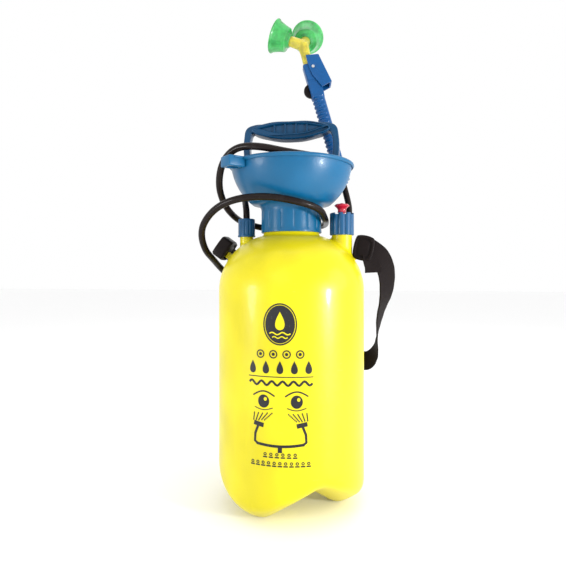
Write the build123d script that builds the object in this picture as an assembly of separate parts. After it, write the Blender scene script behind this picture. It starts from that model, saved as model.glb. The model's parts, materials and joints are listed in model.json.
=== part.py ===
from build123d import *
import math
import os

# Portable pressure eyewash station. Millimetres, +Z up, origin on the floor at the tank's axis.
# The label side faces -Y, the outlet port is at -X and the relief port at +X.
# Heights above the shoulder are counted from the crown, the top of the shoulder's arc.

# Fits
SLIP = 0.3            # free gap between faces that move past each other
RUN = 0.06            # radial clearance of a running fit
NEST = 0.05           # radial clearance of a fixed plug in its hole

# Tank
TANK_R = 86.0
TANK_WALL = 2.6
SHOULDER_Z = 248.0    # top of the straight wall
SHOULDER_CENTRE = 20.0  # the shoulder arc's centre, out from the axis
FEET = 3
FOOT_RING = 54.0
FOOT_TIP_R = 8.0
FOOT_RUN = 1.43       # how far a foot's flank spreads for each millimetre of height
FOOT_TOP_Z = 80.0
FIRST_FOOT = -28.0
NECK_R = 33.0
NECK_BORE = 27.5
NECK_RISE = 25.0      # neck's lip above the crown
LUG_ANGLE = 36.0      # place of the strap lugs round the shoulder arc
LUG_L = 8.0
LUG_W = 6.0
LUG_H = 14.0

# Outlet port
OUTLET_X = -55.0
OUTLET_BOSS_R = 8.0
OUTLET_BORE = 5.0
OUTLET_BOSS_RISE = 10.0
SHANK_L = 32.0
STEM_BORE = 2.5
PORT_FLANGE_T = 2.2
PORT_SEAL_T = 1.2
OUTLET_NUT_R = 10.0
OUTLET_NUT_H = 22.0
BARB_H = 2.6          # barb above the flange
DIP_R = 5.0
DIP_WALL = 1.6
STRAINER_R = 8.0
STRAINER_H = 18.0
STRAINER_Z = 40.0

# Relief port
RELIEF_X = 60.2
RELIEF_BOSS_R = 12.0
RELIEF_BORE = 9.1
RELIEF_BOSS_RISE = 13.0
RELIEF_CUP_H = 13.0
RELIEF_CUP_WALL = 2.0
RELIEF_NUT_R = 14.5
RELIEF_NUT_DROP = 14.0
RELIEF_NUT_H = 26.0
RELIEF_STEM_R = 3.5
KNOB_R = 8.6

# Funnel
SKIRT_R = 36.0
SKIRT_DROP = 23.0     # skirt's lower edge below the neck's lip
SEAL_T = 3.0
WEB_T = 6.0
THROAT_WALL = 1.7
THROAT_DROP = 21.0
BOWL_ARC = 67.6
BOWL_WALL = 2.2
BOWL_CENTRE_R = 4.8
BOWL_H = 47.0
BOWL_CENTRE_RISE = 7.8  # the bowl arc's centre above the rim
RIM_BEAD = 2.5
LOBES = 14
SOCKET_R = 81.3
SOCKET_BORE = 7.1
SOCKET_WALL = 2.7
SOCKET_L = 13.5
SPARE_AZIMUTH = -45.0

# Pump
FLANGE_R = 31.0
FLANGE_T = 4.5
PUMP_SEAL_T = 1.5
BARREL_R = 20.0
BARREL_WALL = 2.0
BARREL_Z = 112.0
BARREL_PLUG = 7.0     # how far the barrel stops below the pump seal
HEAD_PLUG = 19.0
LATCH_R = 16.5
LATCH_H = 12.0
LIP_T = 3.0
ROD_R = 5.0
ROD_BORE = 3.2
BUSH_R = 8.0
PISTON_T = 12.0
FOOT_PLUG_T = 6.0
CHECK_LIFT = 2.0

# D-handle
HANDLE_HALF = 56.5
HANDLE_RISE = 109.0   # top of the grip above the neck's lip
POST_W = 8.2
POST_T = 14.0
GRIP_T = 20.0
GRIP_H = 21.0
HUB_R = 9.0
HUB_H = 28.0
PIN_R = 1.5
GRIP_RIBS = 4
RIB_PITCH = 13.0

# Wand. Its own frame has Z along the wand and X towards the trigger.
WAND_X = 60.0
WAND_Y = 57.1
WAND_RISE = 43.7      # the wand's tail above the neck's lip
WAND_AXIS = (-0.2759, 0.0521, 0.9598)
TRIGGER_SIDE = (0.9509, 0.1586, 0.265)
GRIP_R = 8.6
TAIL_R = 6.8
BARB_R = 4.0
SHOULDER_S = 17.5     # where the grip's shoulder sits on the socket
VALVE_BOX_S = 126.0
GRIP_END_S = 167.0
VALVE_HALF = 7.4
VALVE_BACK = 8.6
PIVOT_O = 3.5
PIVOT_S = 160.0
PLUNGER_S = 146.0
PLUNGER_R = 3.5
LOCK_O = -6.5
LOCK_S = 132.0
LOCK_R = 9.5
GROOVE_S = 44.0
GROOVE_PITCH = 6.0
GROOVE_W = 3.0
GROOVE_DEPTH = 1.3
GROOVES = 13
STEM_R = 5.44
STEM_L = 14.0
CLIP_R = 1.0
CLIP_O = 5.3          # the clip's legs beside the stem
WATER_R = 4.2
LEVER_WALL = 2.0
PIVOT_R = 2.0
PLUNGER_TIP = 16.9
SPRING_R = 2.6
SPRING_BORE = 1.8
CAP_O = -6.8          # inner face of the valve's cap
PLUNGER_O = -3.2      # the plunger's sprung end
TUBE_R = 6.9
FORK_S = 196.0
ARM_R = 6.8
ARM_L = 26.0
ARM_TILT = 52.0
ARM_SPREAD = 54.5
HEAD_TURN = 118.0
CUP_SMALL_R = 15.5
CUP_RIM_R = 20.8
CUP_START = 22.0
CUP_L = 19.5
CUP_WALL = 1.8

# Hose and strap
HOSE_R = 4.0
STRAP_W = 25.0
STRAP_T = 1.6
BUCKLE_EDGE = 2.0
TURN_SHARE = 0.45     # how much of a run a hose bend may take at each end
TAIL_RUN = 26.0       # straight hose below the wand
ROUTE_LUG = (73.395, 286.794)  # radius and height of the lugs that the routes were laid for
ROUTE_CROWN = 314.0   # crown that the routes were laid for
ROUTE_LOW = 292.0     # hose below this lies off the tank's wall
ROUTE_HIGH = 322.0    # hose above this lies round the funnel

# Worked out from the sizes above
SHOULDER_ARC = TANK_R - SHOULDER_CENTRE
CROWN_Z = SHOULDER_Z + SHOULDER_ARC
NECK_TOP_Z = CROWN_Z + NECK_RISE
OUTLET_BOSS_TOP = CROWN_Z + OUTLET_BOSS_RISE
RELIEF_BOSS_TOP = CROWN_Z + RELIEF_BOSS_RISE
RELIEF_NUT_Z = RELIEF_BOSS_TOP - RELIEF_NUT_DROP
SKIRT_Z = NECK_TOP_Z - SKIRT_DROP
THROAT_R = NECK_BORE - SLIP
HANDLE_TOP = NECK_TOP_Z + HANDLE_RISE
WAND_BASE = (WAND_X, WAND_Y, NECK_TOP_Z + WAND_RISE)
LUG_R = SHOULDER_CENTRE + SHOULDER_ARC * math.cos(math.radians(LUG_ANGLE))
LUG_Z = SHOULDER_Z + SHOULDER_ARC * math.sin(math.radians(LUG_ANGLE))

UP = (Align.CENTER, Align.CENTER, Align.MIN)


def rod(r, z0, z1, x=0.0, y=0.0):
    """Upright cylinder from z0 to z1."""
    return Pos(x, y, z0) * Cylinder(r, z1 - z0, align=UP)


def tube(r_out, r_in, z0, z1, x=0.0, y=0.0):
    """Upright tube from z0 to z1."""
    return rod(r_out, z0, z1, x, y) - rod(r_in, z0 - 1, z1 + 1, x, y)


def cross_rod(r, x0, x1, z, y=0.0):
    """Cylinder along X from x0 to x1."""
    return Pos(x0, y, z) * Rot(0, 90, 0) * Cylinder(r, x1 - x0, align=UP)


def side_rod(r, half, x, z):
    """Cylinder along Y, centred on y = 0."""
    return Pos(x, 0, z) * Rot(90, 0, 0) * Cylinder(r, 2 * half)


def block(x0, x1, y0, y1, z0, z1):
    """Box between two corners."""
    return Pos((x0 + x1) / 2, (y0 + y1) / 2, (z0 + z1) / 2) * Box(x1 - x0, y1 - y0, z1 - z0)


def ring_point(r, azimuth, z=0.0):
    """A point at an azimuth counted from the front, -Y, towards +X."""
    a = math.radians(azimuth)
    return (r * math.sin(a), -r * math.cos(a), z)


def plate(points, half):
    """A flat outline in X and Z, as thick as 2 * half along Y."""
    face = make_face(Polyline(*[(x, 0, z) for x, z in points], close=True))
    return extrude(face, amount=half, dir=(0, 1, 0), both=True)


def flutes(r, count, cutter, z0, z1, x=0.0, y=0.0):
    """Upright round flutes in a circle about (x, y)."""
    cuts = []
    for k in range(count):
        px, py, _ = ring_point(r, 360.0 * k / count)
        cuts.append(rod(cutter, z0, z1, x + px, y + py))
    return cuts


# ---------------------------------------------------------------- tank

def shoulder_z(r, inset=0.0):
    """Height of the shoulder's surface at a radius."""
    across = r - SHOULDER_CENTRE
    return SHOULDER_Z + math.sqrt((SHOULDER_ARC - inset) ** 2 - across ** 2)


def tank_solid(inset, neck_r, top):
    """The tank's outer form, or its hollow when inset is the wall."""
    r = TANK_R - inset
    arc = SHOULDER_ARC - inset
    centre = SHOULDER_CENTRE
    neck_z = shoulder_z(neck_r, inset)
    mid = math.atan2(neck_z - SHOULDER_Z, neck_r - centre) / 2
    low = FOOT_TOP_Z
    line = (
        Polyline((0, 0, low), (r, 0, low), (r, 0, SHOULDER_Z))
        + ThreePointArc(
            (r, 0, SHOULDER_Z),
            (centre + arc * math.cos(mid), 0, SHOULDER_Z + arc * math.sin(mid)),
            (neck_r, 0, neck_z),
        )
        + Polyline((neck_r, 0, neck_z), (neck_r, 0, top), (0, 0, top), (0, 0, low))
    )
    upper = revolve(make_face(line), Axis.Z)
    cones = None
    tip = FOOT_TIP_R + inset * (FOOT_RUN - math.hypot(1, FOOT_RUN))
    for k in range(FEET):
        x, y, _ = ring_point(FOOT_RING, FIRST_FOOT + 360.0 * k / FEET)
        spread = tip + (low - inset) * FOOT_RUN
        cone = Pos(x, y, inset) * Cone(tip, spread, low - inset, align=UP)
        cones = cone if cones is None else cones + cone
    return upper + (rod(r, inset, low) & cones)


def lug_frame(side):
    """Place on the shoulder where a strap lug stands: Z is the surface normal, Y stays level."""
    a = math.radians(LUG_ANGLE)
    return Plane(
        origin=(side * LUG_R, 0, LUG_Z),
        x_dir=(side * math.sin(a), 0, -math.cos(a)),
        z_dir=(side * math.cos(a), 0, math.sin(a)),
    ).location


def lug(gap=0.0):
    """Strap lug, standing on the shoulder in the lug's frame."""
    return block(-LUG_L / 2 - gap, LUG_L / 2 + gap, -LUG_W / 2 - gap, LUG_W / 2 + gap, -3, LUG_H + gap)


def make_tank():
    hollow = tank_solid(TANK_WALL, NECK_BORE, NECK_TOP_Z + 5)
    shell = tank_solid(0, NECK_R, NECK_TOP_Z)
    shell += rod(OUTLET_BOSS_R, SHOULDER_Z, OUTLET_BOSS_TOP, OUTLET_X)
    shell += rod(RELIEF_BOSS_R, SHOULDER_Z, RELIEF_BOSS_TOP, RELIEF_X)
    for side in (-1, 1):
        shell += lug_frame(side) * lug()
    shell -= hollow
    shell -= rod(OUTLET_BORE + NEST, SHOULDER_Z, OUTLET_BOSS_TOP + 5, OUTLET_X)
    shell -= rod(RELIEF_BORE, SHOULDER_Z, RELIEF_BOSS_TOP + 5, RELIEF_X)
    return shell


# ---------------------------------------------------------------- funnel

WEB_Z = NECK_TOP_Z + SEAL_T
BOWL_Z = WEB_Z + WEB_T
RIM_Z = BOWL_Z + BOWL_H
BOWL_CENTRE_Z = RIM_Z + BOWL_CENTRE_RISE
SOCKET_TOP = RIM_Z + RIM_BEAD - 0.5
SOCKET_OUT = SOCKET_BORE + SOCKET_WALL


def bowl_r(z, inset=0.0):
    """Radius of the bowl's wall at a height."""
    return BOWL_CENTRE_R + math.sqrt((BOWL_ARC - inset) ** 2 - (BOWL_CENTRE_Z - z) ** 2)


def bowl_side(inset, z0, z1):
    """The bowl's curved wall line between two heights."""
    zm = (z0 + z1) / 2
    return ThreePointArc(
        (bowl_r(z0, inset), 0, z0), (bowl_r(zm, inset), 0, zm), (bowl_r(z1, inset), 0, z1)
    )


def socket_arm(azimuth, past=0.0):
    """Bracket between the rim and a wand socket, at an azimuth, reaching past the socket's centre."""
    arm = block(-SOCKET_OUT, SOCKET_OUT, -SOCKET_R - past, -RIM_INNER, RIM_Z - 10, SOCKET_TOP)
    return Rot(0, 0, azimuth) * arm


def make_funnel():
    throat_z = BOWL_Z - THROAT_DROP
    throat_in = THROAT_R - THROAT_WALL
    skirt_in = NECK_R + SLIP
    base = BOWL_Z - 1
    line = (
        bowl_side(0, base, RIM_Z)
        + Line((bowl_r(RIM_Z), 0, RIM_Z), (bowl_r(RIM_Z, BOWL_WALL), 0, RIM_Z))
        + bowl_side(BOWL_WALL, BOWL_Z, RIM_Z)
        + Polyline(
            (bowl_r(BOWL_Z, BOWL_WALL), 0, BOWL_Z),
            (throat_in, 0, BOWL_Z),
            (throat_in, 0, throat_z),
            (THROAT_R, 0, throat_z),
            (THROAT_R, 0, WEB_Z),
            (skirt_in, 0, WEB_Z),
            (skirt_in, 0, SKIRT_Z),
            (SKIRT_R, 0, SKIRT_Z),
            (SKIRT_R, 0, base),
            (bowl_r(base), 0, base),
        )
    )
    funnel = revolve(make_face(line), Axis.Z)
    funnel += Pos(0, 0, RIM_Z) * Torus(RIM_R, RIM_BEAD)
    for cut in flutes(SKIRT_R + 1.4, LOBES, 2.6, SKIRT_Z - 1, base - 4):
        funnel -= cut
    sx, sy, _ = ring_point(SOCKET_R, SPARE_AZIMUTH)
    low = SOCKET_TOP - SOCKET_L
    add = socket_arm(SPARE_AZIMUTH, SOCKET_OUT) + rod(SOCKET_OUT, low, SOCKET_TOP, sx, sy)
    add += socket_arm(HOLDER_AZIMUTH)
    add += WAND * rod(SOCKET_OUT, SHOULDER_S - SOCKET_L, SHOULDER_S)
    bowl_room = revolve(
        make_face(
            bowl_side(BOWL_WALL / 2, BOWL_Z, RIM_Z)
            + Polyline(
                (bowl_r(RIM_Z, BOWL_WALL / 2), 0, RIM_Z),
                (bowl_r(RIM_Z, BOWL_WALL / 2), 0, RIM_Z + 30),
                (0, 0, RIM_Z + 30),
                (0, 0, BOWL_Z),
                (bowl_r(BOWL_Z, BOWL_WALL / 2), 0, BOWL_Z),
            )
        ),
        Axis.Z,
    )
    funnel += add - bowl_room
    funnel -= rod(SOCKET_BORE, low - 1, SOCKET_TOP + 5, sx, sy)
    funnel -= WAND * rod(SOCKET_BORE, SHOULDER_S - SOCKET_L - 6, SHOULDER_S + 1)
    funnel -= WAND * rod(GRIP_R + SLIP, SHOULDER_S, SHOULDER_S + 30)
    return funnel


# ---------------------------------------------------------------- ports

def make_outlet():
    x = OUTLET_X
    seal_top = OUTLET_BOSS_TOP + PORT_SEAL_T
    flange_top = seal_top + PORT_FLANGE_T
    barb_top = flange_top + BARB_H
    shank_z = OUTLET_BOSS_TOP - SHANK_L
    parts = {}
    parts["outlet_seal"] = tube(OUTLET_BOSS_R - 0.3, OUTLET_BORE + 0.2, OUTLET_BOSS_TOP, seal_top, x)
    stem = rod(OUTLET_BORE, shank_z, flange_top, x) + rod(OUTLET_BOSS_R - 0.4, seal_top, flange_top, x)
    stem += rod(HOSE_R, flange_top, barb_top, x)
    parts["outlet_stem"] = stem - rod(STEM_BORE, shank_z - 1, barb_top + 1, x)
    nut_z = flange_top + 6.4 - OUTLET_NUT_H
    nut = rod(OUTLET_NUT_R, nut_z, nut_z + OUTLET_NUT_H, x)
    nut += rod(OUTLET_NUT_R + 0.6, nut_z, nut_z + 2, x)
    nut -= rod(OUTLET_BOSS_R + SLIP, nut_z - 1, flange_top, x)
    nut -= rod(HOSE_R + SLIP, flange_top - 1, nut_z + OUTLET_NUT_H + 1, x)
    for cut in flutes(OUTLET_NUT_R + 0.5, 12, 1.2, nut_z + 2, nut_z + OUTLET_NUT_H - 1.5, x):
        nut -= cut
    parts["outlet_nut"] = nut
    parts["dip_tube"] = tube(DIP_R, DIP_R - DIP_WALL, STRAINER_Z + STRAINER_H, shank_z, x)
    cage = tube(STRAINER_R, STRAINER_R - 1.6, STRAINER_Z, STRAINER_Z + STRAINER_H, x)
    cage += rod(STRAINER_R, STRAINER_Z + STRAINER_H - 2, STRAINER_Z + STRAINER_H, x)
    for turn in (0, 60, 120):
        slot = block(-20, 20, -1, 1, STRAINER_Z + 3, STRAINER_Z + STRAINER_H - 5)
        cage -= Pos(x, 0, 0) * Rot(0, 0, turn) * slot
    parts["strainer"] = cage - rod(DIP_R - DIP_WALL, STRAINER_Z, STRAINER_Z + STRAINER_H + 1, x)
    return parts, barb_top


def make_relief():
    x = RELIEF_X
    seat_flange = RELIEF_BOSS_TOP + 2
    cup_z = RELIEF_BOSS_TOP - RELIEF_CUP_H
    floor_z = cup_z + RELIEF_CUP_WALL
    roof_z = RELIEF_NUT_Z + RELIEF_NUT_H - 5
    top_z = RELIEF_NUT_Z + RELIEF_NUT_H
    room = RELIEF_BORE - 2.1
    parts = {}
    seat = rod(RELIEF_BORE - NEST, cup_z, seat_flange, x)
    seat += rod(RELIEF_BOSS_R - 0.2, RELIEF_BOSS_TOP, seat_flange, x)
    seat -= rod(room, floor_z, seat_flange + 1, x)
    parts["relief_seat"] = seat - rod(STEM_BORE, cup_z - 1, floor_z + 1, x)
    nut = rod(RELIEF_NUT_R, RELIEF_NUT_Z, top_z, x)
    nut -= rod(RELIEF_BOSS_R + SLIP, RELIEF_NUT_Z - 1, seat_flange, x)
    nut -= rod(room, seat_flange - 1, roof_z, x)
    nut -= rod(RELIEF_STEM_R + RUN, roof_z - 1, top_z + 1, x)
    nut -= rod(RELIEF_NUT_R - 3.2, roof_z + 2, top_z + 1, x)
    for turn in (0, 45, 90, 135):
        nut -= Pos(x, 0, 0) * Rot(0, 0, turn) * block(-20, 20, -2.6, 2.6, top_z - 1.8, top_z + 1)
    for cut in flutes(RELIEF_NUT_R + 1.2, 10, 2.4, RELIEF_NUT_Z - 1, top_z + 1, x):
        nut -= cut
    parts["relief_housing"] = nut
    seal_top = floor_z + 2
    parts["relief_seal"] = rod(room - 2, floor_z, seal_top, x)
    stem = rod(room - 1.5, seal_top, seal_top + 2, x) + rod(RELIEF_STEM_R, seal_top, top_z + 1, x)
    stem += Pos(x, 0, top_z + 0.4) * Cone(4.4, KNOB_R, 7.6, align=UP)
    stem += rod(KNOB_R, top_z + 8, top_z + 11, x)
    stem += rod(KNOB_R - 2.5, top_z + 11, top_z + 12, x)
    parts["relief_knob"] = stem
    parts["relief_spring"] = tube(room - 1.2, RELIEF_STEM_R + 0.3, seal_top + 2, roof_z, x)
    return parts


# ---------------------------------------------------------------- pump

SEAL_TOP = BOWL_Z + PUMP_SEAL_T
FLANGE_TOP = SEAL_TOP + FLANGE_T
BARREL_TOP = SEAL_TOP - BARREL_PLUG
ROOM_TOP = FLANGE_TOP + LATCH_H
HUB_Z = FLANGE_TOP + 2
HUB_TOP = HUB_Z + HUB_H
PISTON_Z = BARREL_Z + FOOT_PLUG_T + 4


def make_pump():
    plug_r = THROAT_R - THROAT_WALL - SLIP
    plug_z = SEAL_TOP - HEAD_PLUG
    parts = {}
    parts["pump_seal"] = tube(FLANGE_R - 0.5, plug_r + 0.2, BOWL_Z, SEAL_TOP)
    head = rod(FLANGE_R, SEAL_TOP, FLANGE_TOP) + rod(plug_r, plug_z, SEAL_TOP)
    head += rod(LATCH_R, FLANGE_TOP, ROOM_TOP)
    head -= rod(BARREL_R + NEST, plug_z - 1, BARREL_TOP)
    head -= rod(BUSH_R + NEST, BARREL_TOP - 1, FLANGE_TOP + 1)
    head -= rod(LATCH_R - 3.5, FLANGE_TOP, ROOM_TOP - LIP_T)
    head -= rod(HUB_R + SLIP, FLANGE_TOP, ROOM_TOP + 1)
    head -= block(-4.2, 4.2, -LATCH_R + 3.2, LATCH_R - 3.2, FLANGE_TOP + 1, ROOM_TOP + 1)
    for cut in flutes(FLANGE_R + 1.0, 24, 2.0, SEAL_TOP - 1, FLANGE_TOP + 1):
        head -= cut
    parts["pump_head"] = head
    parts["rod_bush"] = tube(BUSH_R, ROD_R + RUN, BARREL_TOP, FLANGE_TOP)
    inner = BARREL_R - BARREL_WALL
    parts["pump_barrel"] = tube(BARREL_R, inner, BARREL_Z, BARREL_TOP)
    foot = rod(inner - NEST, BARREL_Z, BARREL_Z + FOOT_PLUG_T) + rod(BARREL_R, BARREL_Z - 3, BARREL_Z)
    for cut in flutes(7.0, 6, 2.0, BARREL_Z - 5, BARREL_Z + FOOT_PLUG_T + 1):
        foot -= cut
    parts["barrel_foot"] = foot
    clip_top = BARREL_Z - 3
    disc_t = 1.5
    cage_t = 2.4
    clip_z = clip_top - CHECK_LIFT - disc_t - cage_t - 0.1
    clip = tube(BARREL_R, BARREL_R - 5, clip_z, clip_top)
    clip += block(-BARREL_R + 2, BARREL_R - 2, -2, 2, clip_z, clip_z + cage_t)
    clip += block(-2, 2, -BARREL_R + 2, BARREL_R - 2, clip_z, clip_z + cage_t)
    parts["foot_clip"] = clip
    parts["check_disc"] = rod(BARREL_R - 7, clip_z + cage_t, clip_z + cage_t + disc_t)
    return parts


def make_plunger():
    inner = BARREL_R - BARREL_WALL
    top = PISTON_Z + PISTON_T
    parts = {}
    piston = rod(inner - SLIP, PISTON_Z, top) - tube(inner + 1, inner - 3, PISTON_Z + 4, top - 3)
    piston -= rod(ROD_R + RUN, PISTON_Z + 3, top + 1)
    piston -= rod(ROD_BORE + RUN, PISTON_Z - 1, PISTON_Z + 4)
    parts["piston"] = piston
    parts["piston_cup"] = tube(inner - RUN, inner - 3 + NEST, PISTON_Z + 4.1, top - 3.1)
    return parts


def make_handle():
    parts = {}
    rod_top = HUB_TOP - 6
    pin_hole = side_rod(PIN_R, 20, 0, HUB_TOP - 12)
    parts["pump_rod"] = tube(ROD_R, ROD_BORE, PISTON_Z + 3.3, rod_top) - pin_hole
    screw = rod(ROD_BORE, PISTON_Z - 0.3, PISTON_Z + 16) + rod(ROD_R, PISTON_Z - 3, PISTON_Z - 0.3)
    parts["piston_screw"] = screw
    low = ROOM_TOP + 3
    side = HANDLE_TOP - 11
    outer = plate(
        [
            (HUB_R, low), (20, low), (40, low + 8), (50, low + 16), (HANDLE_HALF, low + 27),
            (HANDLE_HALF, side), (HANDLE_HALF - 2.5, side + 5), (HANDLE_HALF - 8, side + 8),
            (28, HANDLE_TOP - 1), (0, HANDLE_TOP), (-28, HANDLE_TOP - 1),
            (8 - HANDLE_HALF, side + 8), (2.5 - HANDLE_HALF, side + 5), (-HANDLE_HALF, side),
            (-HANDLE_HALF, low + 27), (-50, low + 16), (-40, low + 8), (-20, low), (-HUB_R, low),
        ],
        POST_T / 2,
    )
    inside = HANDLE_HALF - POST_W
    under = HANDLE_TOP - GRIP_H
    hole = plate(
        [
            (0, low + 14), (18, low + 12), (38, low + 19), (inside - 2, low + 26), (inside, low + 32),
            (inside, side - 1), (26, under + 3), (0, under), (-26, under + 3), (-inside, side - 1),
            (-inside, low + 32), (2 - inside, low + 26), (-38, low + 19), (-18, low + 12),
        ],
        POST_T,
    )
    body = outer - hole
    grip = plate(
        [
            (-inside + 2, side + 6), (-28, HANDLE_TOP - 1), (0, HANDLE_TOP), (28, HANDLE_TOP - 1),
            (inside - 2, side + 6), (inside - 2, side), (26, under + 3), (0, under), (-26, under + 3),
            (-inside + 2, side),
        ],
        GRIP_T / 2,
    )
    recess = plate(
        [
            (-36, side + 4), (-18, side + 7), (18, side + 7), (36, side + 4), (18, under + 8), (-18, under + 8),
        ],
        GRIP_T,
    )
    web = block(-40, 40, -1.5, 1.5, under, HANDLE_TOP)
    recess -= web
    for k in range(GRIP_RIBS):
        at = (k - (GRIP_RIBS - 1) / 2) * RIB_PITCH
        recess -= block(at - 0.8, at + 0.8, -GRIP_T / 2 + 1, GRIP_T / 2 - 1, under, HANDLE_TOP)
    body += grip
    body -= recess
    body += rod(HUB_R, HUB_Z, HUB_TOP)
    body += block(-3.4, 3.4, -LATCH_R + 4, LATCH_R - 4, HUB_Z + 2, HUB_Z + 6)
    body -= rod(ROD_R + NEST, HUB_Z - 1, rod_top)
    body -= pin_hole
    parts["handle"] = body
    parts["handle_pin"] = side_rod(PIN_R, HUB_R - 0.5, 0, HUB_TOP - 12)
    return parts


# ---------------------------------------------------------------- wand

def make_wand():
    parts = {}
    parts["wand_barb"] = tube(BARB_R, 2.2, 0, 26)
    nut = rod(TAIL_R - 0.2, 0.6, 12.8) - rod(BARB_R + NEST, 0, 13)
    for cut in flutes(TAIL_R + 0.6, 8, 1.4, 0, 11):
        nut -= cut
    parts["wand_hose_nut"] = nut
    parts["wand_tube"] = tube(BARB_R, 2.6, 26.2, VALVE_BOX_S + 2)
    grip = rod(TAIL_R, 13, SHOULDER_S + 1) + rod(GRIP_R, SHOULDER_S, VALVE_BOX_S)
    grip += block(-VALVE_BACK, 8, -VALVE_HALF, VALVE_HALF, VALVE_BOX_S - 4, GRIP_END_S)
    for k in range(GROOVES):
        s = GROOVE_S + GROOVE_PITCH * k
        ring = tube(GRIP_R + 2, GRIP_R - GROOVE_DEPTH, s, s + GROOVE_W)
        grip -= ring & block(-20, 4.0, -20, 20, s - 1, s + 5)
    grip -= rod(BARB_R + NEST, 12, VALVE_BOX_S + 2)
    grip -= rod(2.6, VALVE_BOX_S, GRIP_END_S)
    grip -= rod(STEM_R + RUN, GRIP_END_S - STEM_L - 0.5, GRIP_END_S + 1)
    grip -= cross_rod(PLUNGER_R + RUN, -20, 20, PLUNGER_S)
    grip -= side_rod(PIVOT_R, 20, PIVOT_O, PIVOT_S)
    slot = block(LOCK_O - 14, LOCK_O + 2.6, -2.3, 2.3, LOCK_S - LOCK_R - 1, LOCK_S + LOCK_R + 1)
    grip -= slot
    grip -= side_rod(PIN_R, 20, LOCK_O, LOCK_S)
    clip_s = GRIP_END_S - 10
    for o in (-CLIP_O, CLIP_O):
        grip -= side_rod(CLIP_R, 20, o, clip_s)
    parts["wand_grip"] = grip
    parts["lock_pin"] = side_rod(PIN_R, 5.4, LOCK_O, LOCK_S)
    clip_half = VALVE_HALF - 0.2
    parts["stem_clip"] = Part() + [side_rod(CLIP_R, clip_half, o, clip_s) for o in (-CLIP_O, CLIP_O)]
    tab = side_rod(LOCK_R, 2.0, LOCK_O, LOCK_S) & block(-40, LOCK_O, -5, 5, 0, 300)
    tab += side_rod(2.4, 2.0, LOCK_O, LOCK_S)
    parts["trigger_lock"] = tab - side_rod(PIN_R + RUN, 5, LOCK_O, LOCK_S)
    pins = side_rod(PIVOT_R, VALVE_HALF + 3, PIVOT_O, PIVOT_S)
    parts["trigger_pins"] = pins - rod(STEM_R + 0.2, PIVOT_S - 5, PIVOT_S + 5)
    cheek = VALVE_HALF + SLIP
    side = [
        (-1.5, 177.5), (14.8, 174.5), (21.6, 134.5), (7.7, 131.0), (-0.5, 150.0), (-2.0, 164.0),
    ]
    room = [
        (-9.0, 175.5), (12.6, 172.3), (19.2, 137.0), (19.2, 119.0), (-20.0, 119.0), (-20.0, 175.5),
    ]
    lever = plate(side, cheek + LEVER_WALL) - plate(room, cheek)
    lever -= rod(TUBE_R + 1.0, 170, 190)
    parts["trigger"] = lever - side_rod(PIVOT_R + RUN, 20, PIVOT_O, PIVOT_S)
    plunger = cross_rod(PLUNGER_R, PLUNGER_O, 7.8, PLUNGER_S) + cross_rod(2.0, 7, PLUNGER_TIP, PLUNGER_S)
    groove = cross_rod(5, 4.0, 5.6, PLUNGER_S) - cross_rod(2.6, 0, 10, PLUNGER_S)
    parts["valve_plunger"] = plunger - groove
    ring = cross_rod(PLUNGER_R, 4.1, 5.5, PLUNGER_S)
    parts["valve_ring"] = ring - cross_rod(2.6 + NEST, 0, 10, PLUNGER_S)
    parts["valve_cap"] = cross_rod(PLUNGER_R, -VALVE_BACK, CAP_O, PLUNGER_S)
    spring = cross_rod(SPRING_R, CAP_O, PLUNGER_O, PLUNGER_S)
    parts["valve_spring"] = spring - cross_rod(SPRING_BORE, -8, 0, PLUNGER_S)
    return parts


def arm_frame(sign):
    """Place of a spray arm: Z runs out along the arm from the fork."""
    turn = HEAD_TURN + sign * ARM_SPREAD
    return Pos(0, 0, FORK_S) * Rot(0, 0, turn) * Rot(0, ARM_TILT, 0)


def make_head():
    parts = {}
    y = rod(STEM_R, GRIP_END_S - STEM_L, GRIP_END_S + 1) + rod(TUBE_R, GRIP_END_S + SLIP, FORK_S)
    y += Pos(0, 0, FORK_S) * Sphere(TUBE_R)
    bore = rod(WATER_R, GRIP_END_S + 6, FORK_S) + rod(2.6, GRIP_END_S - 20, GRIP_END_S + 10)
    for sign in (-1, 1):
        y += arm_frame(sign) * rod(ARM_R, 0, ARM_L)
        bore += arm_frame(sign) * rod(WATER_R, 0, ARM_L + 1)
    y -= bore
    y -= tube(STEM_R + 1, WATER_R, GRIP_END_S - 11.3, GRIP_END_S - 8.7)
    y -= tube(STEM_R + 1, WATER_R, GRIP_END_S - 6, GRIP_END_S - 4)
    parts["y_tube"] = y
    parts["stem_seal"] = tube(STEM_R, WATER_R + NEST, GRIP_END_S - 5.9, GRIP_END_S - 4.1)
    for sign, name in ((1, "left"), (-1, "right")):
        place = arm_frame(sign)
        cap = rod(ARM_R + 1.6, ARM_L - 1.9, ARM_L + 1.8) - rod(ARM_R + NEST, ARM_L - 3, ARM_L)
        for cut in flutes(2.6, 6, 0.6, ARM_L - 1, ARM_L + 3):
            cap -= cut
        parts["nozzle_" + name] = place * cap
        a0 = CUP_START
        a1 = CUP_START + CUP_L
        inner0 = CUP_SMALL_R - CUP_WALL
        inner1 = CUP_RIM_R - CUP_WALL
        line = Polyline(
            (ARM_R + NEST, 0, a0 - 4), (ARM_R + 2.2, 0, a0 - 4), (ARM_R + 2.2, 0, a0),
            (CUP_SMALL_R, 0, a0), (CUP_RIM_R, 0, a1 - 2), (CUP_RIM_R + 1.6, 0, a1 - 1.4),
            (CUP_RIM_R + 1.6, 0, a1), (inner1, 0, a1), (inner0, 0, a0 + 2), (ARM_R + NEST, 0, a0 + 2),
            close=True,
        )
        parts["eyecup_" + name] = place * revolve(make_face(line), Axis.Z)
    return parts


# ---------------------------------------------------------------- strap

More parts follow.
